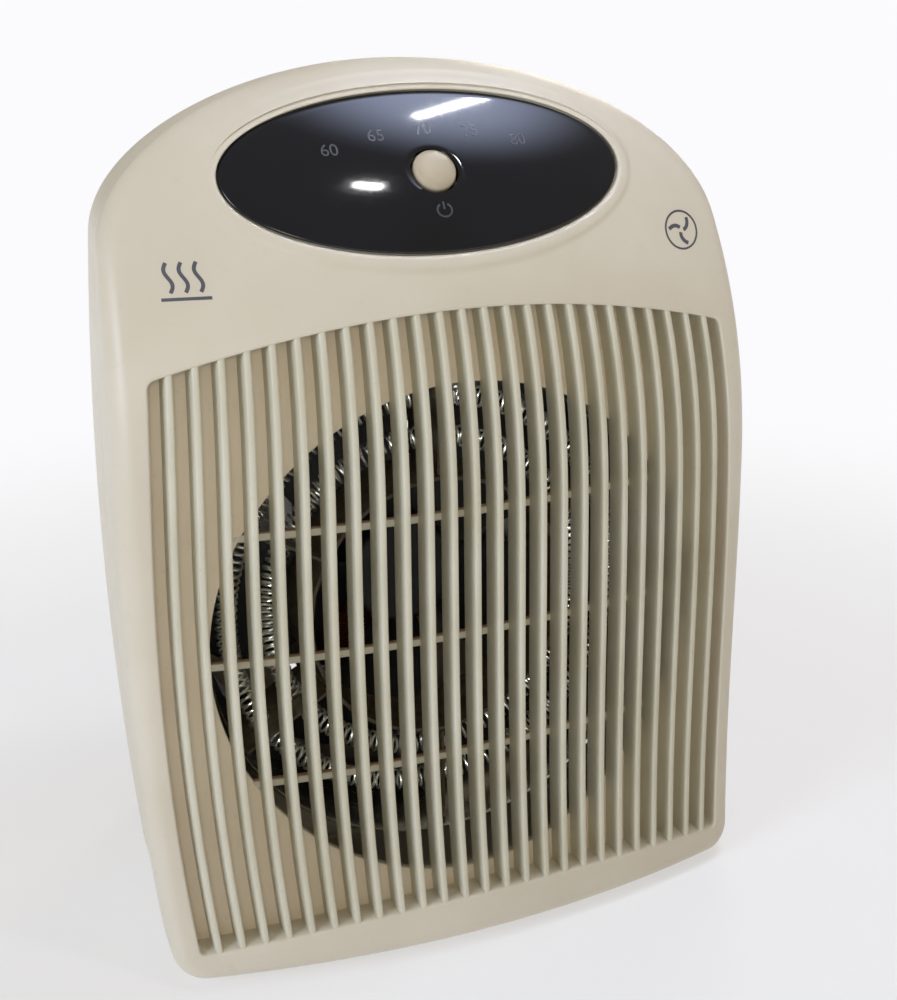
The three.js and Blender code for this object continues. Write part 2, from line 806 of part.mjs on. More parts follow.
function impeller() {
  const rear = impellerFront + impellerDepth;
  const collar = shaftRadius + 5;
  const hub = turned([
    [0, impellerFront],
    [hubRadius - 3, impellerFront],
    [hubRadius, impellerFront + 3],
    [hubRadius, rear],
    [hubRadius - 2, rear],
    [hubRadius - 2, impellerFront + 3],
    [collar, impellerFront + 3],
    [collar, rear - 1],
    [0, rear - 1],
  ], 0, axisZ, 24);
  const pieces = [hub];
  for (let i = 0; i < bladeCount; i++) {
    const start = bladeStart + (i * Math.PI * 2) / bladeCount;
    pieces.push(shapedBox(4, 1, 3, (u, v, w) => {
      const radius = THREE.MathUtils.lerp(hubRadius - 1, bladeTip, (u + 1) / 2);
      const spread = THREE.MathUtils.lerp(0.5, 0.44, (u + 1) / 2);
      const angle = start + w * spread - 0.25 * ((u + 1) / 2) ** 2;
      const rise = w * (impellerDepth / 2 - 1.4) * (1 - 0.22 * ((u + 1) / 2));
      const camber = 1.5 * (1 - w * w);
      const y = impellerFront + impellerDepth / 2 + rise + camber + (v * bladeThickness) / 2;
      return new THREE.Vector3(radius * Math.cos(angle), y, axisZ + radius * Math.sin(angle));
    }));
  }
  const bore = rod(shaftRadius + gap, impellerFront + 2, rear + 2, 0, axisZ);
  return unite(pieces).subtract(bore);
}

addPart('fan_impeller', impeller(), blackPlastic);
const shaftRear = coreRear + bridgeThickness + 6;
addPart('motor_shaft', rod(shaftRadius, impellerFront + 2 + gap, shaftRear, 0, axisZ), steel);
addPart('rotor', ring(shaftRadius + gap, rotorRadius, coreFront, coreRear, 20), laminations);

function shroud() {
  const front = ring(shroudRadius, ductRadius + flangeWidth, shroudFront, shroudFront + shroudFlange, 28);
  const tube = ring(shroudRadius, shroudRadius + shroudWall, shroudFront, shroudRear, 28);
  const rear = ring(shroudRadius, shroudRadius + shroudLipWidth, shroudRear - shroudFlange, shroudRear, 28);
  const lipFront = shroudRear - shroudFlange;
  const ears = shroudPosts.map(([x, z]) => rod(shroudEarRadius, lipFront, shroudRear, x, z, 14));
  let whole = unite([front, tube, rear, ...ears]);
  for (const [x, z] of shroudPosts) {
    whole = whole.subtract(rod(shroudHoleRadius, shroudRear - 4, shroudRear + 1, x, z, 10));
  }
  for (const side of [-1, 1]) {
    const hole = rod(strapHoleRadius, shroudRear - 4, shroudRear + 1, side * strapScrewX, axisZ, 8);
    whole = whole.subtract(hole);
  }
  return whole;
}

const strapScrewX = shroudRadius + shroudLipWidth - 5;
const shroudSeat = shroudRear - shroudFlange - gap;
addPart('fan_shroud', shroud(), ivoryPlastic);

// A screw driven from the front, its head towards -Y
function frontScrew(shank, head, headHeight, seat, length, x, z) {
  return rod(head, seat - headHeight, seat, x, z, 12).add(rod(shank, seat - 0.5, seat + length, x, z, 8));
}

shroudPosts.forEach(([x, z], index) => {
  const fastener = frontScrew(1.3, 3.2, 2, shroudSeat, 14, x, z);
  addPart(`shroud_screw_${index + 1}`, fastener, steel);
});

// ---------- motor ----------

const motorScrewX = coreHalfWidth - 5;

function motorHoles(solid) {
  let drilled = solid;
  for (const side of [-1, 1]) {
    drilled = drilled.subtract(rod(motorHoleRadius, 0, rearY, side * motorScrewX, axisZ, 8));
  }
  return drilled;
}

const strap = box(
  [-strapScrewX - 5, strapScrewX + 5],
  [strapFront, strapFront + strapThickness],
  [axisZ - strapHeight / 2, axisZ + strapHeight / 2],
);
const strapBore = rod(bearingRadius + 2, strapFront - 1, strapFront + 4, 0, axisZ, 16);
let drilledStrap = motorHoles(strap).subtract(strapBore);
for (const side of [-1, 1]) {
  const hole = rod(strapHoleRadius, strapFront - 1, strapFront + 4, side * strapScrewX, axisZ, 8);
  drilledStrap = drilledStrap.subtract(hole);
  const fastener = frontScrew(1.4, 3, 1.8, shroudSeat, 7, side * strapScrewX, axisZ);
  addPart(`strap_screw_${side < 0 ? 1 : 2}`, fastener, steel);
}
addPart('motor_strap', drilledStrap, steel);

function bridge(plateY, footY0, footY1) {
  const tall = [axisZ - bridgeHalfHeight, axisZ + bridgeHalfHeight];
  const plate = box([-coreHalfWidth, coreHalfWidth], [plateY, plateY + bridgeThickness], tall);
  const boss = rod(bearingRadius + 3, plateY, plateY + bridgeThickness, 0, axisZ, 16);
  const feet = [-1, 1].map((side) => {
    const edges = [side * coreHalfWidth, side * (coreHalfWidth - bridgeFootWidth)].sort((a, b) => a - b);
    return box(edges, [footY0, footY1], tall);
  });
  const whole = unite([plate, boss, ...feet]);
  return motorHoles(whole).subtract(rod(bearingRadius + gap, 0, rearY, 0, axisZ, 16));
}

const rearBridgeY = coreRear + bridgeStandoff;
const bearingBore = shaftRadius + gap;
addPart('front_bridge', bridge(bridgeFront, bridgeFront + 1, coreFront - gap), steel);
addPart('rear_bridge', bridge(rearBridgeY, coreRear + gap, rearBridgeY + 1), steel);
const frontBearing = ring(bearingBore, bearingRadius, bridgeFront, bridgeFront + bridgeThickness + 1, 16);
addPart('front_bearing', frontBearing, bronze);
const rearBearing = ring(bearingBore, bearingRadius, rearBridgeY - 1, rearBridgeY + bridgeThickness, 16);
addPart('rear_bearing', rearBearing, bronze);

const legHeight = 11;
const coilWindowTop = axisZ - rotorRadius - airGap - 6;
const coreFoot = axisZ - coreBottom;
const windowHalfWidth = 21;
const bobbinHalfWidth = 18;
const core = box([-coreHalfWidth, coreHalfWidth], [coreFront, coreRear], [coreFoot, axisZ + coreTop])
  .subtract(rod(rotorRadius + airGap, 0, rearY, 0, axisZ, 24))
  .subtract(box([-windowHalfWidth, windowHalfWidth], [0, rearY], [coreFoot + legHeight, coilWindowTop]));
addPart('stator_core', motorHoles(core), laminations);

const bobbinHole = box(
  [-coreHalfWidth, coreHalfWidth],
  [coreFront - gap, coreRear + gap],
  [coreFoot - gap, coreFoot + legHeight + gap],
);
const bobbin = box(
  [-bobbinHalfWidth, bobbinHalfWidth],
  [coreFront - 7, coreRear + 7],
  [coreFoot - 8, coilWindowTop - 1],
);
addPart('stator_coil', bobbin.subtract(bobbinHole), copper);

for (const side of [-1, 1]) {
  const seat = strapFront - gap;
  const length = rearBridgeY + bridgeThickness + 2 - seat;
  const fastener = frontScrew(1.5, 3, 1.8, seat, length, side * motorScrewX, axisZ);
  addPart(`motor_screw_${side < 0 ? 1 : 2}`, fastener, steel);
}

// ---------- power side ----------

let powerBoard = box(
  [-powerBoardHalfWidth, powerBoardHalfWidth],
  [powerBoardY, powerBoardY + boardThickness],
  [powerBoardZ - powerBoardDrop, powerBoardZ + powerBoardRise],
);
for (const side of [-1, 1]) {
  const hole = rod(boardHoleRadius, powerBoardY - 1, powerBoardY + 3, side * powerPostX, powerBoardZ, 8);
  powerBoard = powerBoard.subtract(hole);
}
addPart('power_board', powerBoard, boardGreen);
[-relayX, relayX].forEach((x, index) => {
  const can = box(
    [x - relayHalfWidth, x + relayHalfWidth],
    [powerBoardY - gap - relayDepth, powerBoardY - gap],
    [powerBoardZ - relayDrop, powerBoardZ + relayRise],
  );
  addPart(`relay_${index + 1}`, can, relayBlue);
});

const glandSeat = rearY - shellWall - gap;
const gland = turned([
  [glandRadius - glandBore, rearY - glandDepth],
  [glandRadius + glandFlange, rearY - glandDepth],
  [glandRadius + glandFlange, glandSeat],
  [glandRadius, glandSeat],
  [glandRadius, rearY - 0.1],
  [glandRadius - glandBore, rearY - 0.1],
], glandX, glandZ, 16);
addPart('cord_gland', gland, blackPlastic);

const { x: tipX, y: tipY } = tipSwitch;
const tipTop = tipSwitch.bottom + tipSwitch.height;
const tipBody = box(
  [tipX - tipSwitch.width / 2, tipX + tipSwitch.width / 2],
  [tipY - tipSwitch.depth / 2, tipY + tipSwitch.depth / 2],
  [tipSwitch.bottom, tipTop],
);
const tipBoreTop = tipTop - 4;
const tipBore = post(tipPlungerRadius + 0.5, 0, tipBoreTop, tipX, tipY);
addPart('tip_switch', tipBody.subtract(tipBore), blackPlastic);
addPart('tip_plunger', post(tipPlungerRadius, gap, tipBoreTop - 4, tipX, tipY), blackPlastic);

// An insulated lead: a round tube along a smooth curve through the given points
function lead(points) {
  const path = new THREE.CatmullRomCurve3(points.map((point) => new THREE.Vector3(...point)));
  const round = new THREE.Shape().absarc(0, 0, leadRadius, 0, Math.PI * 2);
  const geometry = new THREE.ExtrudeGeometry(round, { steps: 12, curveSegments: 3, extrudePath: path });
  return solidOf(geometry);
}

const shroudTop = axisZ + shroudRadius + shroudLipWidth;
addPart('live_lead', lead([
  [12, powerBoardY + 4, powerBoardZ - powerBoardDrop - 3],
  [14, shroudRear + 4, shroudTop + 4],
  [12, shroudFront - 4, shroudTop + 3],
  [6, coilY, cutoffZ + 8],
]), leadInsulation);

export default heater;
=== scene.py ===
import math

import bmesh
import bpy
import numpy as np
from mathutils import Matrix, Vector
from mathutils.geometry import delaunay_2d_cdt
from mathutils.kdtree import KDTree


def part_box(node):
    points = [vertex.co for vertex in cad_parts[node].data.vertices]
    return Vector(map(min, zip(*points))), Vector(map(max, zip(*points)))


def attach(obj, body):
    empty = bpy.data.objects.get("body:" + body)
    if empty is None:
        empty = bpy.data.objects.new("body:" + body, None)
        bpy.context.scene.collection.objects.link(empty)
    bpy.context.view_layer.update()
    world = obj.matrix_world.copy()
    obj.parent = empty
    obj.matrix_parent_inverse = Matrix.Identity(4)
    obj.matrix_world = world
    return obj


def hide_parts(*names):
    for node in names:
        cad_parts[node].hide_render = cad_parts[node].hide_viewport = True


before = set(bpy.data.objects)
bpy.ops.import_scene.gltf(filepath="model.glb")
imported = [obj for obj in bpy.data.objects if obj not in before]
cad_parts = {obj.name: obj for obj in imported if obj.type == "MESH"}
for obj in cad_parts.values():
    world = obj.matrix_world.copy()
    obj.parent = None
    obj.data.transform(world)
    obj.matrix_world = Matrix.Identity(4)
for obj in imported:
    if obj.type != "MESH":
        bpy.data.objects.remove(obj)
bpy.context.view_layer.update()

scene = bpy.context.scene
metre = 0.001  # sizes are in millimetres until a mesh is made


def nodeBox(name):
    low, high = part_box(name)
    return [value / metre for value in low], [value / metre for value in high]


coverLow, coverHigh = nodeBox("front_cover")
housingLow, housingHigh = nodeBox("rear_housing")

shell = {
    "sideX": 107.0,  # half width of the side curve before it is scaled to halfWidth
    "barrelReach": 115.0,
    "halfWidth": coverHigh[0],
    "top": coverHigh[2],
    "bottom": coverLow[2],
    "frontY": coverLow[1],
    "rearY": housingHigh[1],
    "wall": 2.0,
    "edgeRadius": 6.0,
    "rearCorner": 12.0,
    "bottomCorner": 9.0,
    "widestZ": 118.0,
    "sideBarrel": 5.5,
    "shoulderRise": 50.0,
    "frontTaper": 5.5,
    "taperStart": 46.0,
    "rearSideTaper": 15.0,
    "rearTopDrop": 20.0,
    "seamGap": 0.15,
    "seamChamfer": 0.5,
    "outlineSteps": 260,
}
face = {
    "bowReach": 107.0,
    "setback": 7.373,
    "bow": 15.5,
    "sweep": 8.6,
    "sweepStart": 123.0,
    "sweepReach": 120.0,
    "lean": 60.0,
    "leanStart": 143.0,
    "leanReach": 135.0,
    "leanPower": 2.465,
}
grille = {
    "halfWidth": 93.4,
    "bottomZ": 18.0,
    "topZ": 210.5,
    "topArch": 0.00157,
    "bottomArch": 0.00061,
    "barrel": 0.054,
    "barrelZ": 103.0,
    "barrelReach": 100.0,
    "cornerRadius": 2.2,
    "lipRadius": 0.9,
    "pocketDepth": 9.0,
    "floorDepth": 2.2,
    "openingRadius": 82.0,
    "openingLip": 0.6,
    "axisZ": 105.5,
}
lens = {
    "z": 248.5,
    "halfWidth": 65.3,
    "halfHeight": 22.4,
    "thickness": 2.2,
    "crown": 1.4,
    "edgeRound": 0.9,
    "seatDepth": 2.5,
    "gap": 0.3,
    "holeRadius": 7.55,
    "floor": 3.1,
    "steps": 192,
}


# Shape helpers

def faceY(x, z):
    bow = face["bow"] * (x / face["bowReach"]) ** 2
    sweep = face["sweep"] * (np.maximum(0, face["sweepStart"] - z) / face["sweepReach"]) ** 3
    lean = face["lean"] * (np.maximum(0, z - face["leanStart"]) / face["leanReach"]) ** face["leanPower"]
    return shell["frontY"] + face["setback"] + bow - sweep + lean


def onFace(flat, depth):  # carries x, z points to a depth behind the face
    return np.column_stack([flat[:, 0], faceY(flat[:, 0], flat[:, 1]) + depth, flat[:, 1]])


def sideAt(z):
    reach = (z - shell["widestZ"]) / shell["barrelReach"]
    return shell["sideX"] - shell["sideBarrel"] * reach * reach


def widestOutline():  # evenly spaced x, z points from the bottom middle, round by the right side
    corner = shell["bottomCorner"]
    low = shell["bottom"]
    shoulder = shell["top"] - shell["shoulderRise"]
    cornerX = sideAt(low + corner) - corner
    half = [[0.0, low]]
    for turn in np.linspace(0, math.pi / 2, 24):
        half.append([cornerX + corner * math.sin(turn), low + corner * (1 - math.cos(turn))])
    for z in np.linspace(low + corner, shoulder, 160)[1:]:
        half.append([sideAt(z), z])
    for turn in np.linspace(0, math.pi / 2, 200)[1:]:
        z = shoulder + shell["shoulderRise"] * math.sin(turn)
        half.append([sideAt(z) * math.cos(turn), z])
    half = np.array(half)
    half[:, 0] *= shell["halfWidth"] / shell["sideX"]
    travel = np.concatenate([[0], np.cumsum(np.linalg.norm(np.diff(half, axis=0), axis=1))])
    even = np.linspace(0, travel[-1], shell["outlineSteps"] + 1)
    right = np.column_stack([np.interp(even, travel, half[:, 0]), np.interp(even, travel, half[:, 1])])
    left = right[-2:0:-1] * [-1, 1]
    return np.vstack([right, left])


outline = widestOutline()
middleZ = (shell["bottom"] + shell["top"]) / 2


def section(y, inset=0.0):  # the shell's outline at a depth, drawn in evenly by an inset
    start = shell["taperStart"]
    behind = (max(0.0, y) / shell["rearY"]) ** 2
    sideDraw = shell["frontTaper"] * min(1.0, max(0.0, (y + start) / start)) + shell["rearSideTaper"] * behind
    topDraw = shell["rearTopDrop"] * behind
    tall = shell["top"] - middleZ
    lift = outline[:, 1] - middleZ
    upward = (tall - topDraw - inset) / tall
    downward = (tall - inset) / tall
    x = outline[:, 0] * (shell["sideX"] - sideDraw - inset) / shell["sideX"]
    return np.column_stack([x, np.full(len(x), float(y)), middleZ + lift * np.where(lift > 0, upward, downward)])


def loft(rings, closeFirst=False, closeLast=False):
    count = len(rings[0])
    points = np.vstack(rings)
    faces = []
    for r in range(len(rings) - 1):
        for i in range(count):
            j = (i + 1) % count
            faces.append((r * count + i, r * count + j, (r + 1) * count + j, (r + 1) * count + i))
    if closeFirst:
        faces.append(tuple(range(count - 1, -1, -1)))
    if closeLast:
        faces.append(tuple(range((len(rings) - 1) * count, len(rings) * count)))
    return points, faces


def turned(profile, steps, x=0.0, z=0.0):  # radius, y points turned about a line along Y
    rings = []
    angles = np.linspace(0, 2 * math.pi, steps, endpoint=False)
    for radius, y in profile:
        rings.append(np.column_stack([x + radius * np.cos(angles), np.full(steps, y), z + radius * np.sin(angles)]))
    return rings


def within(points, loop):  # which x, z points lie inside a closed loop
    inside = np.zeros(len(points), bool)
    ends = np.roll(loop, -1, axis=0)
    for (x0, z0), (x1, z1) in zip(loop, ends):
        if z0 != z1:
            crosses = (z0 > points[:, 1]) != (z1 > points[:, 1])
            inside ^= crosses & (points[:, 0] < (x1 - x0) * (points[:, 1] - z0) / (z1 - z0) + x0)
    return inside


def sheetBetween(outer, holes, spacing, liftAt):  # a fine triangle sheet inside one loop and outside the others
    loops = [outer, *holes]
    border = np.vstack(loops)
    flatLoops = [loop[:, (0, 2)] for loop in loops]
    low, high = flatLoops[0].min(0), flatLoops[0].max(0)
    gridX, gridZ = np.meshgrid(np.arange(low[0], high[0], spacing), np.arange(low[1], high[1], spacing * 0.866))
    gridX[1::2] += spacing / 2
    grid = np.column_stack([gridX.ravel(), gridZ.ravel()])
    kept = within(grid, flatLoops[0])
    for loop in flatLoops[1:]:
        kept &= ~within(grid, loop)
    tree = KDTree(len(border))
    for i, point in enumerate(border):
        tree.insert((point[0], point[2], 0), i)
    tree.balance()
    grid = np.array([p for p in grid[kept] if tree.find((p[0], p[1], 0))[2] > 0.6 * spacing])
    edges = []
    start = 0
    for loop in loops:
        count = len(loop)
        edges += [(start + i, start + (i + 1) % count) for i in range(count)]
        start += count
    flat = np.vstack([border[:, (0, 2)], grid]) if len(grid) else border[:, (0, 2)]
    points, _, triangles, origin, _, _ = delaunay_2d_cdt([Vector(p) for p in flat], edges, [], 0, 1e-5)
    placed = np.array([[p.x, 0.0, p.y] for p in points])
    placed[:, 1] = liftAt(placed[:, 0], placed[:, 2])
    for i, sources in enumerate(origin):
        if sources and sources[0] < len(border):
            placed[i] = border[sources[0]]
    middles = np.array([placed[list(t)][:, (0, 2)].mean(0) for t in triangles])
    kept = within(middles, flatLoops[0])
    for loop in flatLoops[1:]:
        kept &= ~within(middles, loop)
    return placed, [tuple(t) for t, keep in zip(triangles, kept) if keep]


def offsetLoop(loop, distance):  # an x, z loop moved outwards; the loop runs anticlockwise
    along = np.roll(loop, -1, axis=0) - np.roll(loop, 1, axis=0)
    along /= np.linalg.norm(along, axis=1)[:, None]
    return loop + distance * np.column_stack([along[:, 1], -along[:, 0]])


def roundedBox(centre, half, radius, cornerSteps=6):
    points = []
    for sideX, sideZ, start in ((1, -1, -90), (1, 1, 0), (-1, 1, 90), (-1, -1, 180)):
        for turn in np.radians(np.linspace(start, start + 90, cornerSteps)):
            points.append([
                centre[0] + sideX * (half[0] - radius) + radius * math.cos(turn),
                centre[1] + sideZ * (half[1] - radius) + radius * math.sin(turn),
            ])
    return np.array(points)


def circleLoop(centre, radius, steps):
    turns = np.linspace(0, 2 * math.pi, steps, endpoint=False)
    return np.column_stack([centre[0] + radius * np.cos(turns), centre[1] + radius * np.sin(turns)])


def makeMesh(name, parts, smooth=True, weld=0.004, outward=True):  # parts in mm, as points and faces
    mesh = bpy.data.meshes.new(name)
    points, faces = [], []
    for partPoints, partFaces in parts:
        faces += [tuple(i + len(points) for i in f) for f in partFaces]
        points += [tuple(p) for p in np.asarray(partPoints) * metre]
    mesh.from_pydata(points, [], faces)
    form = bmesh.new()
    form.from_mesh(mesh)
    bmesh.ops.remove_doubles(form, verts=form.verts, dist=weld * metre)
    bmesh.ops.dissolve_degenerate(form, edges=form.edges, dist=1e-7)
    if outward:
        bmesh.ops.recalc_face_normals(form, faces=form.faces)
    form.to_mesh(mesh)
    form.free()
    for polygon in mesh.polygons:
        polygon.use_smooth = smooth
    piece = bpy.data.objects.new(name, mesh)
    scene.collection.objects.link(piece)
    return piece


def settle(piece):  # applies the modifiers, so that the object keeps one plain mesh
    graph = bpy.context.evaluated_depsgraph_get()
    graph.update()
    done = bpy.data.meshes.new_from_object(piece.evaluated_get(graph), depsgraph=graph)
    done.name = piece.name
    piece.modifiers.clear()
    piece.data = done
    return piece


def faceOutward(piece, centre):  # turns an open skin round if most of it faces its own middle
    form = bmesh.new()
    form.from_mesh(piece.data)
    middle = Vector(centre) * metre
    facing = sum((f.calc_center_median() - middle).dot(f.normal) * f.calc_area() for f in form.faces)
    if facing < 0:
        bmesh.ops.reverse_faces(form, faces=form.faces)
    form.to_mesh(piece.data)
    form.free()


def thicken(piece, wall):
    solid = piece.modifiers.new("wall", "SOLIDIFY")
    solid.thickness = wall * metre
    solid.offset = -1
    return settle(piece)


def sharpen(piece, degrees):  # smooth shading that stops at real corners
    piece.data.set_sharp_from_angle(angle=math.radians(degrees))


def finishPiece(piece, material, body, slotName, *nodes):
    piece.data.materials.clear()
    piece.data.materials.append(material)
    for polygon in piece.data.polygons:
        polygon.material_index = 0
    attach(piece, body)
    if nodes:
        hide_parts(*nodes)
    return piece


# Materials

def toLinear(code):
    channels = [int(code[i:i + 2], 16) / 255 for i in (1, 3, 5)]
    return [c / 12.92 if c <= 0.04045 else ((c + 0.055) / 1.055) ** 2.4 for c in channels] + [1.0]


def addNode(tree, kind, settings=None, links=None):
    node = tree.nodes.new(kind)
    for key, value in (settings or {}).items():
        if isinstance(key, str) and hasattr(node, key):
            setattr(node, key, value)
        else:
            node.inputs[key].default_value = value
    for key, source in (links or {}).items():
        tree.links.new(source, node.inputs[key])
    return node


def startMaterial(name, recipe):
    material = bpy.data.materials.new(name)
    material.use_nodes = True
    tree = material.node_tree
    tree.nodes.clear()
    output = addNode(tree, "ShaderNodeOutputMaterial")
    shader = addNode(tree, "ShaderNodeBsdfPrincipled", {
        "Base Color": toLinear(recipe["colour"]),
        "Roughness": recipe["roughness"],
        "Metallic": recipe.get("metallic", 0.0),
        "IOR": recipe.get("ior", 1.5),
    })
    tree.links.new(shader.outputs[0], output.inputs[0])
    place = addNode(tree, "ShaderNodeTexCoord").outputs["Object"]
    return material, tree, shader, place


# A finish with a broad drift of tone, a finer speckle, and a grain in its surface; sizes in mm
def grainedFinish(name, recipe):
    material, tree, shader, place = startMaterial(name, recipe)
    if "stretch" in recipe:
        place = addNode(tree, "ShaderNodeMapping", {"Scale": recipe["stretch"]}, {"Vector": place}).outputs[0]
    broad = addNode(tree, "ShaderNodeTexNoise", {
        "Scale": 1 / (recipe["driftSize"] * metre), "Detail": 3.0, "Roughness": 0.5,
    }, {"Vector": place})
    fine = addNode(tree, "ShaderNodeTexNoise", {
        "Scale": 1 / (recipe["speckSize"] * metre), "Detail": 4.0, "Roughness": 0.6,
    }, {"Vector": place})
    drift = addNode(tree, "ShaderNodeMapRange", {
        "From Min": 0.35, "From Max": 0.65,
    }, {"Value": broad.outputs["Fac"]})
    tone = addNode(tree, "ShaderNodeMix", {
        "data_type": "RGBA", 6: toLinear(recipe["colour"]), 7: toLinear(recipe["driftColour"]),
    }, {0: drift.outputs[0]})
    speck = addNode(tree, "ShaderNodeMapRange", {
        "From Min": recipe.get("speckFrom", 0.62), "From Max": 0.8, "To Max": recipe.get("speckShare", 0.4),
    }, {"Value": fine.outputs["Fac"]})
    colour = addNode(tree, "ShaderNodeMix", {
        "data_type": "RGBA", 7: toLinear(recipe["speckColour"]),
    }, {0: speck.outputs[0], 6: tone.outputs[2]})
    tree.links.new(colour.outputs[2], shader.inputs["Base Color"])
    spread = recipe["roughnessSpread"]
    sheen = addNode(tree, "ShaderNodeMapRange", {
        "From Min": 0.3, "From Max": 0.7,
        "To Min": recipe["roughness"] - spread, "To Max": recipe["roughness"] + spread,
    }, {"Value": fine.outputs["Fac"]})
    tree.links.new(sheen.outputs[0], shader.inputs["Roughness"])
    grain = addNode(tree, "ShaderNodeTexNoise", {
        "Scale": 1 / (recipe["grainSize"] * metre), "Detail": 2.0,
    }, {"Vector": place})
    bump = addNode(tree, "ShaderNodeBump", {
        "Strength": recipe.get("grainStrength", 0.5), "Distance": recipe["grainHeight"] * metre,
    }, {"Height": grain.outputs["Fac"]})
    tree.links.new(bump.outputs[0], shader.inputs["Normal"])
    return material


# Moulded ivory ABS, spark-eroded mould: a soft satin sheen, a 0.6 mm grain that breaks up highlights,
# and the faint yellowing and dust of a heater that has been used
ivoryAbs = grainedFinish("ivory ABS, moulded satin", {
    "colour": "#d3cdbd", "driftColour": "#cbc4b2", "speckColour": "#b9ae98", "speckShare": 0.25,
    "roughness": 0.42, "roughnessSpread": 0.05, "driftSize": 60.0, "speckSize": 4.0,
    "grainSize": 0.6, "grainHeight": 0.02, "grainStrength": 0.35,
})
# The same ABS on the slats and guard bars, a little darker and greener than the face, with darker specks
slatAbs = grainedFinish("ivory ABS, slats with dust", {
    "colour": "#cdcab8", "driftColour": "#c3bfaa", "speckColour": "#a0987f", "speckShare": 0.35,
    "roughness": 0.46, "roughnessSpread": 0.06, "driftSize": 35.0, "speckSize": 2.2,
    "grainSize": 0.6, "grainHeight": 0.02, "grainStrength": 0.35,
})
# Painted light: the outlet's pocket floor gets a lighter, warmer tan copy of the ivory, which lifts the shade that
# falls in the pocket
pocketFloorLitAbs = grainedFinish("ivory ABS, heat-yellowed", {
    "colour": "#efe3cd", "driftColour": "#e9dbc2", "speckColour": "#b59f80", "speckShare": 0.3,
    "roughness": 0.48, "roughnessSpread": 0.05, "driftSize": 40.0, "speckSize": 2.5,
    "grainSize": 0.6, "grainHeight": 0.02, "grainStrength": 0.35,
})
# Painted shade: the guard bars' upper sides get a darker, browner copy of the ivory, standing in for the shade on their
# tops
barTopShadeAbs = grainedFinish("ivory ABS, browned by heat", {
    "colour": "#a98f78", "driftColour": "#9c826b", "speckColour": "#7d6754", "speckShare": 0.4,
    "roughness": 0.5, "roughnessSpread": 0.05, "driftSize": 20.0, "speckSize": 1.8,
    "grainSize": 0.6, "grainHeight": 0.02, "grainStrength": 0.35,
})
# The button's ABS, darker and browner than the shell
buttonAbs = grainedFinish("ivory ABS, button", {
    "colour": "#b8ae98", "driftColour": "#b2a78f", "speckColour": "#a1957c", "speckShare": 0.25,
    "roughness": 0.38, "roughnessSpread": 0.05, "driftSize": 8.0, "speckSize": 1.5,
    "grainSize": 0.5, "grainHeight": 0.015, "grainStrength": 0.3,
})
# Polished dark acrylic: near black with a blue cast, mirror gloss, a few faint wipe marks
lensAcrylic = grainedFinish("smoked acrylic, polished", {
    "colour": "#12151b", "driftColour": "#151820", "speckColour": "#20242b", "speckShare": 0.3,
    "roughness": 0.07, "roughnessSpread": 0.02, "driftSize": 45.0, "speckSize": 1.2, "ior": 1.49,
    "grainSize": 14.0, "grainHeight": 0.02, "grainStrength": 0.2,
})
# Screen-printed ink, thin and grey through the acrylic
dialInk = grainedFinish("dial ink, screen printed", {
    "colour": "#40434d", "driftColour": "#383b46", "speckColour": "#262934", "speckShare": 0.5,
    "roughness": 0.35, "roughnessSpread": 0.05, "driftSize": 12.0, "speckSize": 0.5,
    "grainSize": 0.3, "grainHeight": 0.01,
})
# Grey pad-printed mark on the ivory shell
markInk = grainedFinish("mark ink, pad printed", {
    "colour": "#4c4f57", "driftColour": "#555860", "speckColour": "#6b6d72", "speckShare": 0.4,
    "roughness": 0.45, "roughnessSpread": 0.05, "driftSize": 9.0, "speckSize": 0.5,
    "grainSize": 0.3, "grainHeight": 0.01,
})
# Glass-filled black polypropylene: dull, with a slightly fibrous grain
blackPlastic = grainedFinish("black polypropylene, moulded", {
    "colour": "#151516", "driftColour": "#1c1c1d", "speckColour": "#34322e", "speckShare": 0.35,
    "roughness": 0.5, "roughnessSpread": 0.08, "driftSize": 25.0, "speckSize": 1.5,
    "grainSize": 0.5, "grainHeight": 0.03,
})
# Soft black rubber, pressed: no gloss, dust held in its pores
footRubber = grainedFinish("black rubber, pressed", {
    "colour": "#1b1b1b", "driftColour": "#232322", "speckColour": "#4a4842", "speckShare": 0.4,
    "roughness": 0.85, "roughnessSpread": 0.06, "driftSize": 8.0, "speckSize": 0.8,
    "grainSize": 0.25, "grainHeight": 0.03,
})
# Bright rolled steel sheet: rolling lines run round the duct, faint straw tint from the heat
ductSteel = grainedFinish("bright steel sheet, rolled", {
    "colour": "#d9d8d4", "driftColour": "#d2ccc0", "speckColour": "#b3aa98", "speckShare": 0.3,
    "roughness": 0.2, "roughnessSpread": 0.08, "driftSize": 22.0, "speckSize": 3.0, "metallic": 1.0,
    "grainSize": 1.2, "grainHeight": 0.03, "stretch": (1.0, 6.0, 1.0),
})
# Drawn nickel-chrome resistance wire, oxidised by use: grey to straw, still a metallic glint
nichrome = grainedFinish("nickel-chrome wire, oxidised", {
    "colour": "#f4f2ec", "driftColour": "#e2dccf", "speckColour": "#a89c8a", "speckShare": 0.35,
    "roughness": 0.34, "roughnessSpread": 0.08, "driftSize": 9.0, "speckSize": 0.9, "metallic": 1.0,
    "grainSize": 0.4, "grainHeight": 0.02,
})
# Pressed mica sheet: brown-grey flakes with a waxy, pearly lustre
micaSheet = grainedFinish("mica sheet, pressed", {
    "colour": "#564b3a", "driftColour": "#6b5f4a", "speckColour": "#2f281d", "speckShare": 0.6,
    "roughness": 0.42, "roughnessSpread": 0.12, "driftSize": 5.0, "speckSize": 1.6,
    "grainSize": 1.1, "grainHeight": 0.05,
})
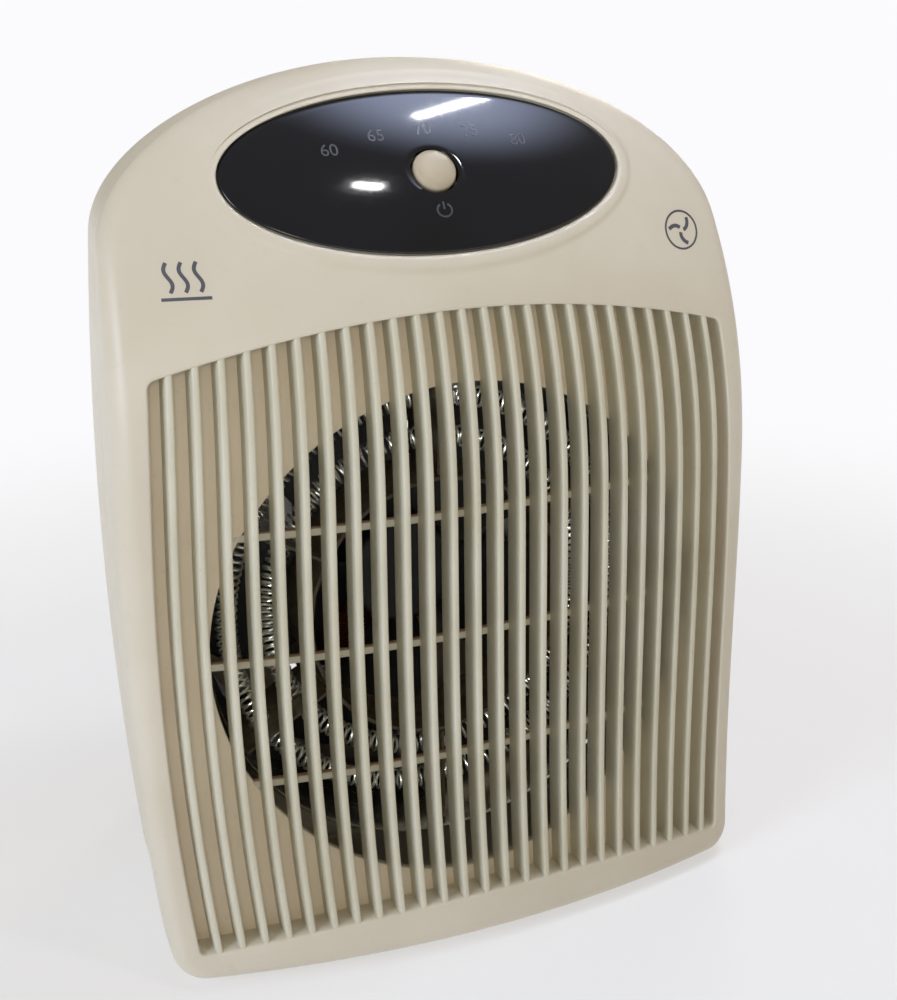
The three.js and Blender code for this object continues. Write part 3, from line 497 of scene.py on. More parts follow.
# Zinc-plated mild steel: pale grey-blue crystals, fine scuffs
zincSteel = grainedFinish("mild steel, zinc plated", {
    "colour": "#b4b6b8", "driftColour": "#a3a7ab", "speckColour": "#8b8a84", "speckShare": 0.4,
    "roughness": 0.34, "roughnessSpread": 0.08, "driftSize": 6.0, "speckSize": 0.8, "metallic": 1.0,
    "grainSize": 0.5, "grainHeight": 0.015,
})
# Silicon-steel laminations, punched and varnished: darker, with brown varnish between sheets
laminatedSteel = grainedFinish("silicon steel, varnished stack", {
    "colour": "#6f6b66", "driftColour": "#5c5043", "speckColour": "#3d3026", "speckShare": 0.5,
    "roughness": 0.42, "roughnessSpread": 0.1, "driftSize": 9.0, "speckSize": 0.7, "metallic": 1.0,
    "grainSize": 0.5, "grainHeight": 0.06, "stretch": (1.0, 9.0, 1.0),
})
# Enamelled copper winding: amber varnish, turns 0.5 mm apart
copperWinding = grainedFinish("copper wire, enamelled", {
    "colour": "#a4592a", "driftColour": "#b97038", "speckColour": "#5a2c12", "speckShare": 0.6,
    "roughness": 0.3, "roughnessSpread": 0.08, "driftSize": 7.0, "speckSize": 0.6, "metallic": 0.8,
    "grainSize": 0.5, "grainHeight": 0.12, "stretch": (0.15, 1.0, 1.0),
})
# Sintered bronze: dull gold, open pores that hold oil
sinteredBronze = grainedFinish("bronze, sintered", {
    "colour": "#a37c45", "driftColour": "#8f6a39", "speckColour": "#4c371b", "speckShare": 0.6,
    "roughness": 0.45, "roughnessSpread": 0.08, "driftSize": 4.0, "speckSize": 0.4, "metallic": 1.0,
    "grainSize": 0.3, "grainHeight": 0.03,
})
# Fired steatite: off-white, slightly glassy, small grey inclusions
steatite = grainedFinish("steatite, fired", {
    "colour": "#e2ded3", "driftColour": "#d8d2c3", "speckColour": "#a39b89", "speckShare": 0.5,
    "roughness": 0.5, "roughnessSpread": 0.06, "driftSize": 6.0, "speckSize": 0.7,
    "grainSize": 0.4, "grainHeight": 0.02,
})
# Glass-epoxy board under green solder mask: glossy, with the weave showing faintly
maskedBoard = grainedFinish("glass epoxy, green solder mask", {
    "colour": "#1f5a30", "driftColour": "#2b6c3c", "speckColour": "#7f8c4a", "speckShare": 0.35,
    "roughness": 0.3, "roughnessSpread": 0.06, "driftSize": 3.0, "speckSize": 1.2,
    "grainSize": 0.6, "grainHeight": 0.02,
})
# Moulded blue relay case, semi-gloss
relayBlue = grainedFinish("blue thermoplastic, moulded", {
    "colour": "#2a4f8e", "driftColour": "#24467f", "speckColour": "#5b74a3", "speckShare": 0.3,
    "roughness": 0.35, "roughnessSpread": 0.05, "driftSize": 9.0, "speckSize": 1.0,
    "grainSize": 0.5, "grainHeight": 0.015,
})
# Red epoxy, cast and clear-skinned
ledEpoxy = grainedFinish("red epoxy, cast", {
    "colour": "#a3241b", "driftColour": "#8d1a14", "speckColour": "#c34a3c", "speckShare": 0.3,
    "roughness": 0.15, "roughnessSpread": 0.03, "driftSize": 3.0, "speckSize": 0.6,
    "grainSize": 0.5, "grainHeight": 0.01,
})
# Woven glass sleeve over the live lead: off-white, a fine 0.8 mm braid
glassSleeve = grainedFinish("glass sleeve, woven", {
    "colour": "#d6d0c0", "driftColour": "#c8c0ac", "speckColour": "#8f8671", "speckShare": 0.6,
    "roughness": 0.75, "roughnessSpread": 0.08, "driftSize": 5.0, "speckSize": 0.8,
    "grainSize": 0.8, "grainHeight": 0.1,
})
print("materials made")


# Front cover: face, outlet pocket with its round opening, rim and seat for the lens

def windowLoop():
    half = grille["halfWidth"]
    rounding = grille["cornerRadius"]
    topAt = lambda x: grille["topZ"] - grille["topArch"] * x * x
    bottomAt = lambda x: grille["bottomZ"] - grille["bottomArch"] * x * x
    reach = half - rounding
    flat = [[x, bottomAt(x)] for x in np.linspace(-reach, reach, 96)]
    corners = [
        ([reach, bottomAt(reach)], [half, bottomAt(half)], [half, bottomAt(half) + rounding]),
        ([half, topAt(half) - rounding], [half, topAt(half)], [reach, topAt(reach)]),
        ([-reach, topAt(reach)], [-half, topAt(half)], [-half, topAt(half) - rounding]),
        ([-half, bottomAt(half) + rounding], [-half, bottomAt(half)], [-reach, bottomAt(reach)]),
    ]
    sides = [
        [[half, z] for z in np.linspace(bottomAt(half) + rounding, topAt(half) - rounding, 84)[1:-1]],
        [[x, topAt(x)] for x in np.linspace(reach, -reach, 96)[1:-1]],
        [[-half, z] for z in np.linspace(topAt(half) - rounding, bottomAt(half) + rounding, 84)[1:-1]],
        [],
    ]
    for corner, side in zip(corners, sides):
        a, b, c = (np.array(p) for p in corner)
        steps = np.linspace(0, 1, 7)[1 if not side or corner is corners[0] else 0:]
        bend = [(1 - t) ** 2 * a + 2 * t * (1 - t) * b + t * t * c for t in steps]
        if corner is corners[-1]:
            bend = bend[:-1]
        flat += [list(p) for p in bend] + side
    flat = np.array(flat)
    flat[:, 0] *= 1 + grille["barrel"] * (1 - ((flat[:, 1] - grille["barrelZ"]) / 100) ** 2)
    return flat


window = windowLoop()
panelSlope = float(faceY(0.0, lens["z"] + 1) - faceY(0.0, lens["z"] - 1)) / 2
panelLean = math.atan(panelSlope)
panelY = float(faceY(0.0, lens["z"]))
panelNormal = Vector((0, -math.cos(panelLean), math.sin(panelLean)))
panelUp = Vector((0, math.sin(panelLean), math.cos(panelLean)))


def ellipseLoop(grow, share=1.0):
    turns = np.linspace(0, 2 * math.pi, lens["steps"], endpoint=False)
    x = share * (lens["halfWidth"] + grow) * np.cos(turns)
    return np.column_stack([x, lens["z"] + share * (lens["halfHeight"] + grow) * np.sin(turns)])


# A circle square to the panel, at a height over the face
def panelCircle(radius, height, steps=None, centre=(0.0, 0.0)):
    turns = np.linspace(0, 2 * math.pi, steps or lens["steps"], endpoint=False)
    middle = Vector((0, panelY, lens["z"])) + panelNormal * height + panelUp * centre[1]
    across = np.outer(centre[0] + radius * np.cos(turns), (1, 0, 0))
    return np.array(middle) + across + np.outer(radius * np.sin(turns), panelUp)


rim = {
    # distance outside the lens edge, depth behind the face
    "profile": [
        (6.0, 0.0), (5.4, -0.03), (4.9, -0.12), (4.4, -0.3), (3.9, -0.52), (3.4, -0.69), (2.8, -0.78),
        (2.1, -0.8), (1.5, -0.8), (1.0, -0.76), (0.65, -0.62), (0.42, -0.4), (0.32, -0.1), (0.3, 0.3), (0.3, 2.5),
    ],
}


def coverParts():
    parts = []
    edge = section(-shell["taperStart"])
    reach = np.hypot(edge[:, 0], edge[:, 2] - middleZ)
    start = 1 - shell["edgeRadius"] / reach
    rings = []
    room = -1.4 - faceY(edge[:, 0], edge[:, 2])  # at the crest the rounding has to end before the seam
    deep = np.minimum(shell["edgeRadius"], room)
    for turn in np.linspace(0, math.pi / 2, 10):
        scale = start + (1 - start) * math.sin(turn)
        x = edge[:, 0] * scale
        z = middleZ + (edge[:, 2] - middleZ) * scale
        y = np.maximum(faceY(x, z) + deep * (1 - math.cos(turn)), shell["frontY"])
        rings.append(np.column_stack([x, y, z]))
    last = rings[-1]
    chamfer = shell["seamChamfer"]
    seam = section(-shell["seamGap"] - chamfer)
    for share in np.linspace(0, 1, 12)[1:]:
        ring = last + (seam - last) * share ** 1.5
        ring[:, 1] = last[:, 1] + (seam[:, 1] - last[:, 1]) * share
        rings.append(ring)
    rings.append(section(-shell["seamGap"], chamfer))
    parts.append(loft(rings))

    lip = grille["lipRadius"]
    windowRings = []
    for turn in np.linspace(0, math.pi / 2, 6):
        windowRings.append(onFace(offsetLoop(window, lip * (1 - math.sin(turn))), lip * (1 - math.cos(turn))))
    windowRings.append(onFace(offsetLoop(window, -0.1), grille["pocketDepth"] * 0.5))
    windowRings.append(onFace(offsetLoop(window, -0.2), grille["pocketDepth"]))
    parts.append(loft(windowRings))

    rimRings = [onFace(ellipseLoop(grow), depth) for grow, depth in rim["profile"]]
    parts.append(loft(rimRings))
    hole = panelCircle(lens["holeRadius"], -lens["seatDepth"])
    seat = rimRings[-1]
    seatRings = [seat]
    for share in (0.2, 0.4, 0.6, 0.8):
        ring = seat + (hole - seat) * share
        ring[:, 1] = faceY(ring[:, 0], ring[:, 2]) + lens["seatDepth"]
        seatRings.append(ring)
    seatRings += [hole, panelCircle(lens["holeRadius"], -lens["seatDepth"] - lens["floor"])]
    parts.append(loft(seatRings))

    parts.append(sheetBetween(rings[0], [windowRings[0], rimRings[0]], 2.4, faceY))

    openingLip = grille["openingLip"]
    opening = circleLoop((0, grille["axisZ"]), grille["openingRadius"], 220)
    floorY = lambda x, z: faceY(x, z) + grille["pocketDepth"]
    openingRings = []
    for turn in np.linspace(0, math.pi / 2, 4):
        ring = offsetLoop(opening, openingLip * (1 - math.sin(turn)))
        openingRings.append(onFace(ring, grille["pocketDepth"] + openingLip * (1 - math.cos(turn))))
    openingRings.append(onFace(opening, grille["pocketDepth"] + grille["floorDepth"]))
    parts.append(loft(openingRings))
    parts.append(sheetBetween(windowRings[-1], [openingRings[0]], 3.0, floorY))
    return parts


cover = makeMesh("front_cover_shell", coverParts())
faceOutward(cover, (0, 0, 140))
thicken(cover, shell["wall"])
sharpen(cover, 32)
finishPiece(cover, ivoryAbs, "case", "ivory_shell", "front_cover")


def tint(piece, material, chosen):  # gives the polygons that `chosen` picks out a second material; here it lays painted light on the pocket floor and painted shade on the bar tops
    piece.data.materials.append(material)
    for polygon in piece.data.polygons:
        if chosen(Vector(polygon.center) / metre, polygon.normal):
            polygon.material_index = len(piece.data.materials) - 1


def onOutletFloor(at, normal):
    depth = at.y - float(faceY(at.x, at.z))
    return normal.y < -0.8 and abs(depth - grille["pocketDepth"]) < 0.3


# painted light: the pocket floor's faces take the lighter tan copy of the ivory
tint(cover, pocketFloorLitAbs, onOutletFloor)
print("front cover", len(cover.data.polygons))


# Outlet slats, by a node tree: one rounded bar, repeated across and bent to the face

slats = {
    "Count": 25,
    "Pitch": 7.3 * metre,
    "Width": 2.2 * metre,
    "Inset": 0.3 * metre,
    "Depth": 9.1 * metre,
    "Front radius": 0.85 * metre,
    "Bottom": 17.2 * metre,
    "Top": 211.3 * metre,
    "Bottom arch": 0.61,
    "Top arch": 1.57,
    "Barrel": 0.054,
    "Barrel height": 103.0 * metre,
}


def newTree(name, inputs):
    tree = bpy.data.node_groups.new(name, "GeometryNodeTree")
    tree.interface.new_socket("Geometry", in_out="INPUT", socket_type="NodeSocketGeometry")
    tree.interface.new_socket("Geometry", in_out="OUTPUT", socket_type="NodeSocketGeometry")
    for label, value in inputs.items():
        kind = "NodeSocketInt" if isinstance(value, int) else "NodeSocketFloat"
        tree.interface.new_socket(label, in_out="INPUT", socket_type=kind)
    return tree, addNode(tree, "NodeGroupInput"), addNode(tree, "NodeGroupOutput")


def runTree(name, tree, inputs):
    piece = bpy.data.objects.new(name, bpy.data.meshes.new(name))
    scene.collection.objects.link(piece)
    modifier = piece.modifiers.new(name, "NODES")
    modifier.node_group = tree
    for item in tree.interface.items_tree:
        if item.in_out == "INPUT" and item.name in inputs:
            modifier[item.identifier] = inputs[item.name]
    return settle(piece)


def slatProfile():  # the bar's section: flat back and sides, rounded front corners; x across, y deep
    half = slats["Width"] / 2
    radius = slats["Front radius"]
    depth = slats["Depth"]
    points = [(half, depth), (half, depth * 0.5)]
    for turn in np.linspace(0, math.pi / 2, 5):
        points.append((half - radius + radius * math.cos(turn), radius - radius * math.sin(turn)))
    mirrored = [(-x, y) for x, y in reversed(points)]
    return points + mirrored


def profileObject(name, points):
    curve = bpy.data.curves.new(name, "CURVE")
    curve.dimensions = "2D"
    spline = curve.splines.new("POLY")
    spline.points.add(len(points) - 1)
    for point, (x, y) in zip(spline.points, points):
        point.co = (x, y, 0, 1)
    spline.use_cyclic_u = True
    holder = bpy.data.objects.new(name, curve)
    scene.collection.objects.link(holder)
    return holder


def slatTree(profile):
    tree, given, result = newTree("slats on the face", slats)
    take = given.outputs
    sectionInfo = addNode(tree, "GeometryNodeObjectInfo", {"Object": profile})
    line = addNode(tree, "GeometryNodeCurvePrimitiveLine", {"Start": (0, 0, 0), "End": (0, 0, 1)})
    steps = addNode(tree, "GeometryNodeResampleCurve", {"Count": 64}, {"Curve": line.outputs[0]})
    bar = addNode(tree, "GeometryNodeCurveToMesh", {"Fill Caps": True}, {
        "Curve": steps.outputs[0], "Profile Curve": sectionInfo.outputs["Geometry"],
    })
    offset = addNode(tree, "ShaderNodeCombineXYZ", {}, {"X": take["Pitch"]})
    gaps = addNode(tree, "ShaderNodeMath", {"operation": "SUBTRACT", 1: 1.0}, {0: take["Count"]})
    span = addNode(tree, "ShaderNodeMath", {"operation": "MULTIPLY"}, {0: gaps.outputs[0], 1: take["Pitch"]})
    half = addNode(tree, "ShaderNodeMath", {"operation": "MULTIPLY", 1: -0.5}, {0: span.outputs[0]})
    first = addNode(tree, "ShaderNodeCombineXYZ", {}, {"X": half.outputs[0]})
    row = addNode(tree, "GeometryNodeMeshLine", {}, {
        "Count": take["Count"], "Start Location": first.outputs[0], "Offset": offset.outputs[0],
    })
    copies = addNode(tree, "GeometryNodeInstanceOnPoints", {}, {
        "Points": row.outputs[0], "Instance": bar.outputs[0],
    })
    real = addNode(tree, "GeometryNodeRealizeInstances", {}, {0: copies.outputs[0]})
    where = addNode(tree, "GeometryNodeInputPosition")
    at = addNode(tree, "ShaderNodeSeparateXYZ", {}, {0: where.outputs[0]}).outputs

    known = {"x": at[0], "y": at[1], "z": at[2]}
    known.update((name, take[name]) for name in slats if name in take)
    sums = (
        # name of the result, operation, terms
        ("half pitch", "MULTIPLY", "Pitch", 0.5),
        ("shifted", "ADD", "x", "half pitch"),
        ("bar x", "SNAP", "shifted", "Pitch"),
        ("across", "SUBTRACT", "x", "bar x"),
        ("square", "MULTIPLY", "bar x", "bar x"),
        ("arch below", "MULTIPLY", "square", "Bottom arch"),
        ("low", "SUBTRACT", "Bottom", "arch below"),
        ("arch above", "MULTIPLY", "square", "Top arch"),
        ("high", "SUBTRACT", "Top", "arch above"),
        ("tall", "SUBTRACT", "high", "low"),
        ("risen", "MULTIPLY", "tall", "z"),
        ("new z", "ADD", "low", "risen"),
        ("above barrel", "SUBTRACT", "new z", "Barrel height"),
        ("reach", "DIVIDE", "above barrel", grille["barrelReach"] * metre),
        ("reach squared", "MULTIPLY", "reach", "reach"),
        ("less reach", "SUBTRACT", 1, "reach squared"),
        ("swell", "MULTIPLY", "less reach", "Barrel"),
        ("swollen", "ADD", "swell", 1),
        ("spread x", "MULTIPLY", "bar x", "swollen"),
        ("new x", "ADD", "spread x", "across"),
        ("share of bow", "DIVIDE", "new x", face["bowReach"] * metre),
        ("sized bow", "ABSOLUTE", "share of bow"),
        ("bow squared", "POWER", "sized bow", 2),
        ("bow", "MULTIPLY", "bow squared", face["bow"] * metre),
        ("below sweep", "SUBTRACT", face["sweepStart"] * metre, "new z"),
        ("sweep share", "DIVIDE", "below sweep", face["sweepReach"] * metre),
        ("sweep part", "MAXIMUM", "sweep share", 0),
        ("sweep cubed", "POWER", "sweep part", 3),
        ("sweep", "MULTIPLY", "sweep cubed", face["sweep"] * metre),
        ("above lean", "SUBTRACT", "new z", face["leanStart"] * metre),
        ("lean share", "DIVIDE", "above lean", face["leanReach"] * metre),
        ("lean part", "MAXIMUM", "lean share", 0),
        ("lean curve", "POWER", "lean part", face["leanPower"]),
        ("lean", "MULTIPLY", "lean curve", face["lean"] * metre),
        ("bow and lean", "ADD", "bow", "lean"),
        ("less sweep", "SUBTRACT", "bow and lean", "sweep"),
        ("face y", "ADD", "less sweep", (shell["frontY"] + face["setback"]) * metre),
        ("bar y", "ADD", "y", "Inset"),
        ("new y", "ADD", "face y", "bar y"),
    )
    for name, operation, *terms in sums:
        settings, links = {"operation": operation}, {}
        for key, term in enumerate(terms):
            if isinstance(term, str):
                links[key] = known[term]
            else:
                settings[key] = float(term)
        known[name] = addNode(tree, "ShaderNodeMath", settings, links).outputs[0]
    bent = addNode(tree, "ShaderNodeCombineXYZ", {}, {0: known["new x"], 1: known["new y"], 2: known["new z"]})
    moved = addNode(tree, "GeometryNodeSetPosition", {}, {"Geometry": real.outputs[0], "Position": bent.outputs[0]})
    coloured = addNode(tree, "GeometryNodeSetMaterial", {"Material": slatAbs}, {"Geometry": moved.outputs[0]})
    tree.links.new(coloured.outputs[0], result.inputs[0])
    return tree


profile = profileObject("slat_section", slatProfile())
slatPiece = runTree("outlet_slats", slatTree(profile), slats)
bpy.data.objects.remove(profile)
form = bmesh.new()
form.from_mesh(slatPiece.data)
bmesh.ops.recalc_face_normals(form, faces=form.faces)
form.to_mesh(slatPiece.data)
form.free()
for polygon in slatPiece.data.polygons:
    polygon.use_smooth = True
sharpen(slatPiece, 40)
finishPiece(slatPiece, slatAbs, "case", "ivory_shell", "front_cover")
print("slats", len(slatPiece.data.polygons))

guards = {"pitch": 41.4, "height": 2.8, "count": 3, "radius": 0.7}


def guardParts():
    parts = []
    for index in range(guards["count"]):
        middle = grille["axisZ"] + (index - (guards["count"] - 1) / 2) * guards["pitch"]
        reach = math.sqrt(grille["openingRadius"] ** 2 - (middle - grille["axisZ"]) ** 2) + 2
        depth = grille["pocketDepth"]
        halfDeep = grille["floorDepth"] / 2
        ring = roundedBox((0, depth + halfDeep), (guards["height"] / 2, halfDeep), guards["radius"], 4)
        rings = []
        for x in np.linspace(-reach, reach, 60):
            z = middle + ring[:, 0]
            rings.append(np.column_stack([np.full(len(z), x), faceY(x, z) + ring[:, 1], z]))
        parts.append(loft(rings, True, True))
    return parts


guardPiece = makeMesh("guard_bars", guardParts())
sharpen(guardPiece, 40)
finishPiece(guardPiece, slatAbs, "case", "ivory_shell", "front_cover")
# painted shade: the guard bars' upward faces take the darker brown copy of the ivory
tint(guardPiece, barTopShadeAbs, lambda at, normal: normal.z > 0.6)

# Rear housing: skin, intake slots, finger grip, screw wells

rear = {
    "slotPitch": 7.4,
    "slotHeight": 4.0,
    "slotWidth": 24.0,
    "slotRib": 4.0,
    "slotColumns": 4,
    "slotReach": 70.0,
    "slotLip": 0.5,
    "gripHalf": (45.0, 12.0),
    "gripZ": 224.0,
    "gripDepth": 22.0,
    "gripLip": 1.8,
    "gripCorner": 5.0,
    "wells": [(-60, 222), (60, 222)],
    "cornerWells": [(-60, 17), (60, 17)],  # these come out through the rounded lower corner
    "wellRadius": 4.0,
    "wellWall": 1.4,
    "wellEnd": 72.6,
    "wellFloor": 14.0,
    "wellBore": 2.1,
}
glandLow, glandHigh = nodeBox("cord_gland")
glandX, glandZ = (glandLow[0] + glandHigh[0]) / 2, (glandLow[2] + glandHigh[2]) / 2
glandHole = 6.3


def lipRings(loop, lip, y, steps=5):  # a rounded edge that turns in from the back wall
    rings = []
    for turn in np.linspace(0, math.pi / 2, steps):
        flat = offsetLoop(loop, lip * (1 - math.sin(turn)))
        rings.append(np.column_stack([flat[:, 0], np.full(len(flat), y - lip * (1 - math.cos(turn))), flat[:, 1]]))
    return rings


def slotLoops():
    loops = []
    rows = int(rear["slotReach"] // rear["slotPitch"])
    half = rear["slotWidth"] / 2
    for row in range(-rows, rows + 1):
        for column in range(rear["slotColumns"]):
            x = (column - (rear["slotColumns"] - 1) / 2) * (rear["slotWidth"] + rear["slotRib"])
            z = row * rear["slotPitch"]
            if math.hypot(abs(x) + half, z) <= rear["slotReach"] + 2:
                loops.append(roundedBox((x, grille["axisZ"] + z), (half, rear["slotHeight"] / 2), 1.9, 6))
    return loops


def housingParts():
    parts = []
    back = shell["rearY"]
    radius = shell["rearCorner"]
    rings = [section(shell["seamGap"], shell["seamChamfer"]), section(shell["seamGap"] + shell["seamChamfer"])]
    for y in np.linspace(1, back - radius, 16)[1:]:
        rings.append(section(y))
    for turn in np.linspace(0, math.pi / 2, 12)[1:]:
        rings.append(section(back - radius + radius * math.sin(turn), radius * (1 - math.cos(turn))))
    parts.append(loft(rings))
    holes = []
    for loop in slotLoops():
        slot = lipRings(loop, rear["slotLip"], back, 4)
        holes.append(slot[0])
        parts.append(loft(slot))
    grip = lipRings(roundedBox((0, rear["gripZ"]), rear["gripHalf"], rear["gripCorner"], 8), rear["gripLip"], back, 7)
    holes.append(grip[0])
    inner = roundedBox((0, rear["gripZ"]), rear["gripHalf"], rear["gripCorner"], 8)
    floor = back - rear["gripDepth"]
    for turn in np.linspace(0, math.pi / 2, 6):
        flat = offsetLoop(inner, -2.5 * (1 - math.cos(turn)))
        grip.append(np.column_stack([flat[:, 0], np.full(len(flat), floor + 2.5 * (1 - math.sin(turn))), flat[:, 1]]))
    parts.append(loft(grip))
    parts.append(sheetBetween(grip[-1], [], 4.0, lambda x, z: np.full(len(x), floor)))
    for x, z in rear["wells"]:
        well = lipRings(circleLoop((x, z), rear["wellRadius"], 32), 0.6, back)
        holes.append(well[0])
        for wellRadius in (rear["wellRadius"] - 0.2, rear["wellBore"]):
            flat = circleLoop((x, z), wellRadius, 32)
            well.append(np.column_stack([flat[:, 0], np.full(32, rear["wellFloor"]), flat[:, 1]]))
        parts.append(loft(well))
    gland = lipRings(circleLoop((glandX, glandZ), glandHole, 40), 0.5, back)
    holes.append(gland[0])
    parts.append(loft(gland))
    parts.append(sheetBetween(rings[-1], holes, 4.0, lambda x, z: np.full(len(x), back)))
    return parts


housing = makeMesh("rear_housing_shell", housingParts())
faceOutward(housing, (0, 0, 140))
thicken(housing, shell["wall"])
tipLow, tipHigh = nodeBox("tip_plunger")
tipX, tipY = (tipLow[0] + tipHigh[0]) / 2, (tipLow[1] + tipHigh[1]) / 2


def drill(piece, rings):  # cuts a round hole through a finished wall
    cutter = makeMesh("drill", [loft(rings, True, True)])
    cut = piece.modifiers.new("hole", "BOOLEAN")
    cut.operation = "DIFFERENCE"
    cut.solver = "EXACT"
    cut.object = cutter
    settle(piece)
    bpy.data.objects.remove(cutter)


drill(housing, [ring[:, (0, 2, 1)] + [tipX, tipY, 0] for ring in turned([(3.1, -1.0), (3.1, 9.0)], 32)])
for x, z in rear["cornerWells"]:
    drill(housing, turned([(rear["wellRadius"], 55.0), (rear["wellRadius"], 80.0)], 40, x, z))


def wellParts():
    parts = []
    inner, outer = rear["wellRadius"], rear["wellRadius"] + rear["wellWall"]
    bore, floorY, end = rear["wellBore"], rear["wellFloor"], rear["wellEnd"]
    base = floorY - 2
    profile = [(bore, base), (outer, base), (outer, end), (inner, end), (inner, floorY), (bore, floorY), (bore, base)]
    for x, z in rear["cornerWells"]:
        parts.append(loft(turned(profile, 40, x, z)))
    return parts


wellPiece = makeMesh("lower_screw_wells", wellParts())
sharpen(wellPiece, 40)
finishPiece(wellPiece, ivoryAbs, "case", "ivory_shell", "rear_housing")
sharpen(housing, 32)
finishPiece(housing, ivoryAbs, "case", "ivory_shell", "rear_housing")
print("rear housing", len(housing.data.polygons))


# Lens, button and dial marks

def lensY(x, z):
    rho = (x / lens["halfWidth"]) ** 2 + ((z - lens["z"]) / lens["halfHeight"]) ** 2
    return faceY(x, z) - lens["crown"] * (1 - rho)


def boreRing(radius, surface, depth=0.0):  # where a round bore square to the panel meets a surface
    ring = panelCircle(radius, 0)
    for _ in range(8):
        short = surface(ring[:, 0], ring[:, 2]) + depth - ring[:, 1]
        ring = ring + np.outer(short / panelNormal.y, panelNormal)
    return ring


def lensParts():
    edge = ellipseLoop(-lens["gap"])
    bevelSize = 0.35
    bevel = boreRing(lens["holeRadius"] + bevelSize, lensY)
    rounding = lens["edgeRound"]
    rings = []
    for turn in np.linspace(math.pi / 2, 0, 5):
        flat = ellipseLoop(-lens["gap"] - rounding * (1 - math.sin(turn)))
        rounded = lensY(flat[:, 0], flat[:, 1]) + rounding * (1 - math.cos(turn))
        ring = np.column_stack([flat[:, 0], rounded, flat[:, 1]])
        rings.append(ring)
    for share in np.linspace(0, 1, 26)[1:-1]:
        flat = rings[4][:, (0, 2)] * (1 - share) + bevel[:, (0, 2)] * share
        rings.append(np.column_stack([flat[:, 0], lensY(flat[:, 0], flat[:, 1]), flat[:, 1]]))
    rings.append(bevel)
    rings.append(boreRing(lens["holeRadius"], lensY, bevelSize))
    back = boreRing(lens["holeRadius"], faceY, lens["thickness"])
    far = np.column_stack([edge[:, 0], faceY(edge[:, 0], edge[:, 1]) + lens["thickness"], edge[:, 1]])
    rings += [back, far, rings[0]]
    return [loft(rings)]


lensPiece = makeMesh("control_lens_smooth", lensParts())
sharpen(lensPiece, 40)
finishPiece(lensPiece, lensAcrylic, "case", "dark_lens", "control_lens")

button = {
    # radius, height over the face
    "profile": [
        (0.0, 2.8), (1.5, 2.78), (3.0, 2.7), (4.3, 2.56), (5.2, 2.38), (5.8, 2.15), (6.3, 1.82), (6.6, 1.4),
        (6.75, 0.9), (6.75, -1.0), (5.8, -1.6), (2.6, -1.6), (2.6, -8.0), (0.0, -8.0),
    ],
}
buttonRings = [panelCircle(max(radius, 0.001), height, 72) for radius, height in button["profile"]]
buttonPiece = makeMesh("button_crowned", [loft(buttonRings)])
sharpen(buttonPiece, 35)
finishPiece(buttonPiece, buttonAbs, "button", "ivory_shell", "button_cap")

dial = {
    "numbers": ["60", "65", "70", "75", "80"],
    "spacing": 15.4,
    "topZ": 260.2,
    "drop": 4.4,
    "size": 5.6,
    "inkHeight": 0.03,
}


def placeOnLens(mesh, x0, z0):  # carries flat glyph points to the lens, thickness along its normal
    slopeShare = math.cos(panelLean)
    for vertex in mesh.vertices:
        u, v, w = (value / metre for value in vertex.co)
        x, z = x0 + u, z0 + v * slopeShare
        y = float(lensY(np.float64(x), np.float64(z)))
        place = Vector((x, y, z)) + panelNormal * (w + dial["inkHeight"])
        vertex.co = place * metre


def glyphMesh(text, size):
    curve = bpy.data.curves.new("numeral", "FONT")
    curve.body = text
    curve.size = size * metre
    curve.align_x = "CENTER"
    curve.align_y = "CENTER"
    curve.extrude = 0.03 * metre
    curve.resolution_u = 6
    holder = bpy.data.objects.new("numeral", curve)
    scene.collection.objects.link(holder)
    graph = bpy.context.evaluated_depsgraph_get()
    mesh = bpy.data.meshes.new_from_object(holder.evaluated_get(graph), depsgraph=graph)
    bpy.data.objects.remove(holder)
    return mesh


def strokeMesh(points, width, closed=False):  # a flat printed stroke along a line of u, v points
    points = np.array(points)
    if closed:
        along = np.roll(points, -1, axis=0) - np.roll(points, 1, axis=0)
    else:
        along = np.gradient(points, axis=0)
    along /= np.linalg.norm(along, axis=1)[:, None]
    side = np.column_stack([-along[:, 1], along[:, 0]]) * width / 2
    rings = []
    for edge, height in ((side, 0.03), (-side, 0.03), (-side, -0.03), (side, -0.03)):
        rings.append(np.column_stack([points + edge, np.full(len(points), height)]))
    count = len(points)
    verts = np.vstack(rings) * metre
    faces = []
    for i in range(count if closed else count - 1):
        j = (i + 1) % count
        for r in range(4):
            s = (r + 1) % 4
            faces.append((r * count + i, r * count + j, s * count + j, s * count + i))
    if not closed:
        faces.append(tuple(r * count for r in range(4)))
        faces.append(tuple(r * count + count - 1 for r in (3, 2, 1, 0)))
    mesh = bpy.data.meshes.new("stroke")
    mesh.from_pydata([tuple(p) for p in verts], [], faces)
    return mesh


def joinMeshes(name, meshes):
    form = bmesh.new()
    for mesh in meshes:
        form.from_mesh(mesh)
        bpy.data.meshes.remove(mesh)
    bmesh.ops.remove_doubles(form, verts=form.verts, dist=1e-7)
    bmesh.ops.recalc_face_normals(form, faces=form.faces)
    joined = bpy.data.meshes.new(name)
    form.to_mesh(joined)
    form.free()
    piece = bpy.data.objects.new(name, joined)
    scene.collection.objects.link(piece)
    return piece


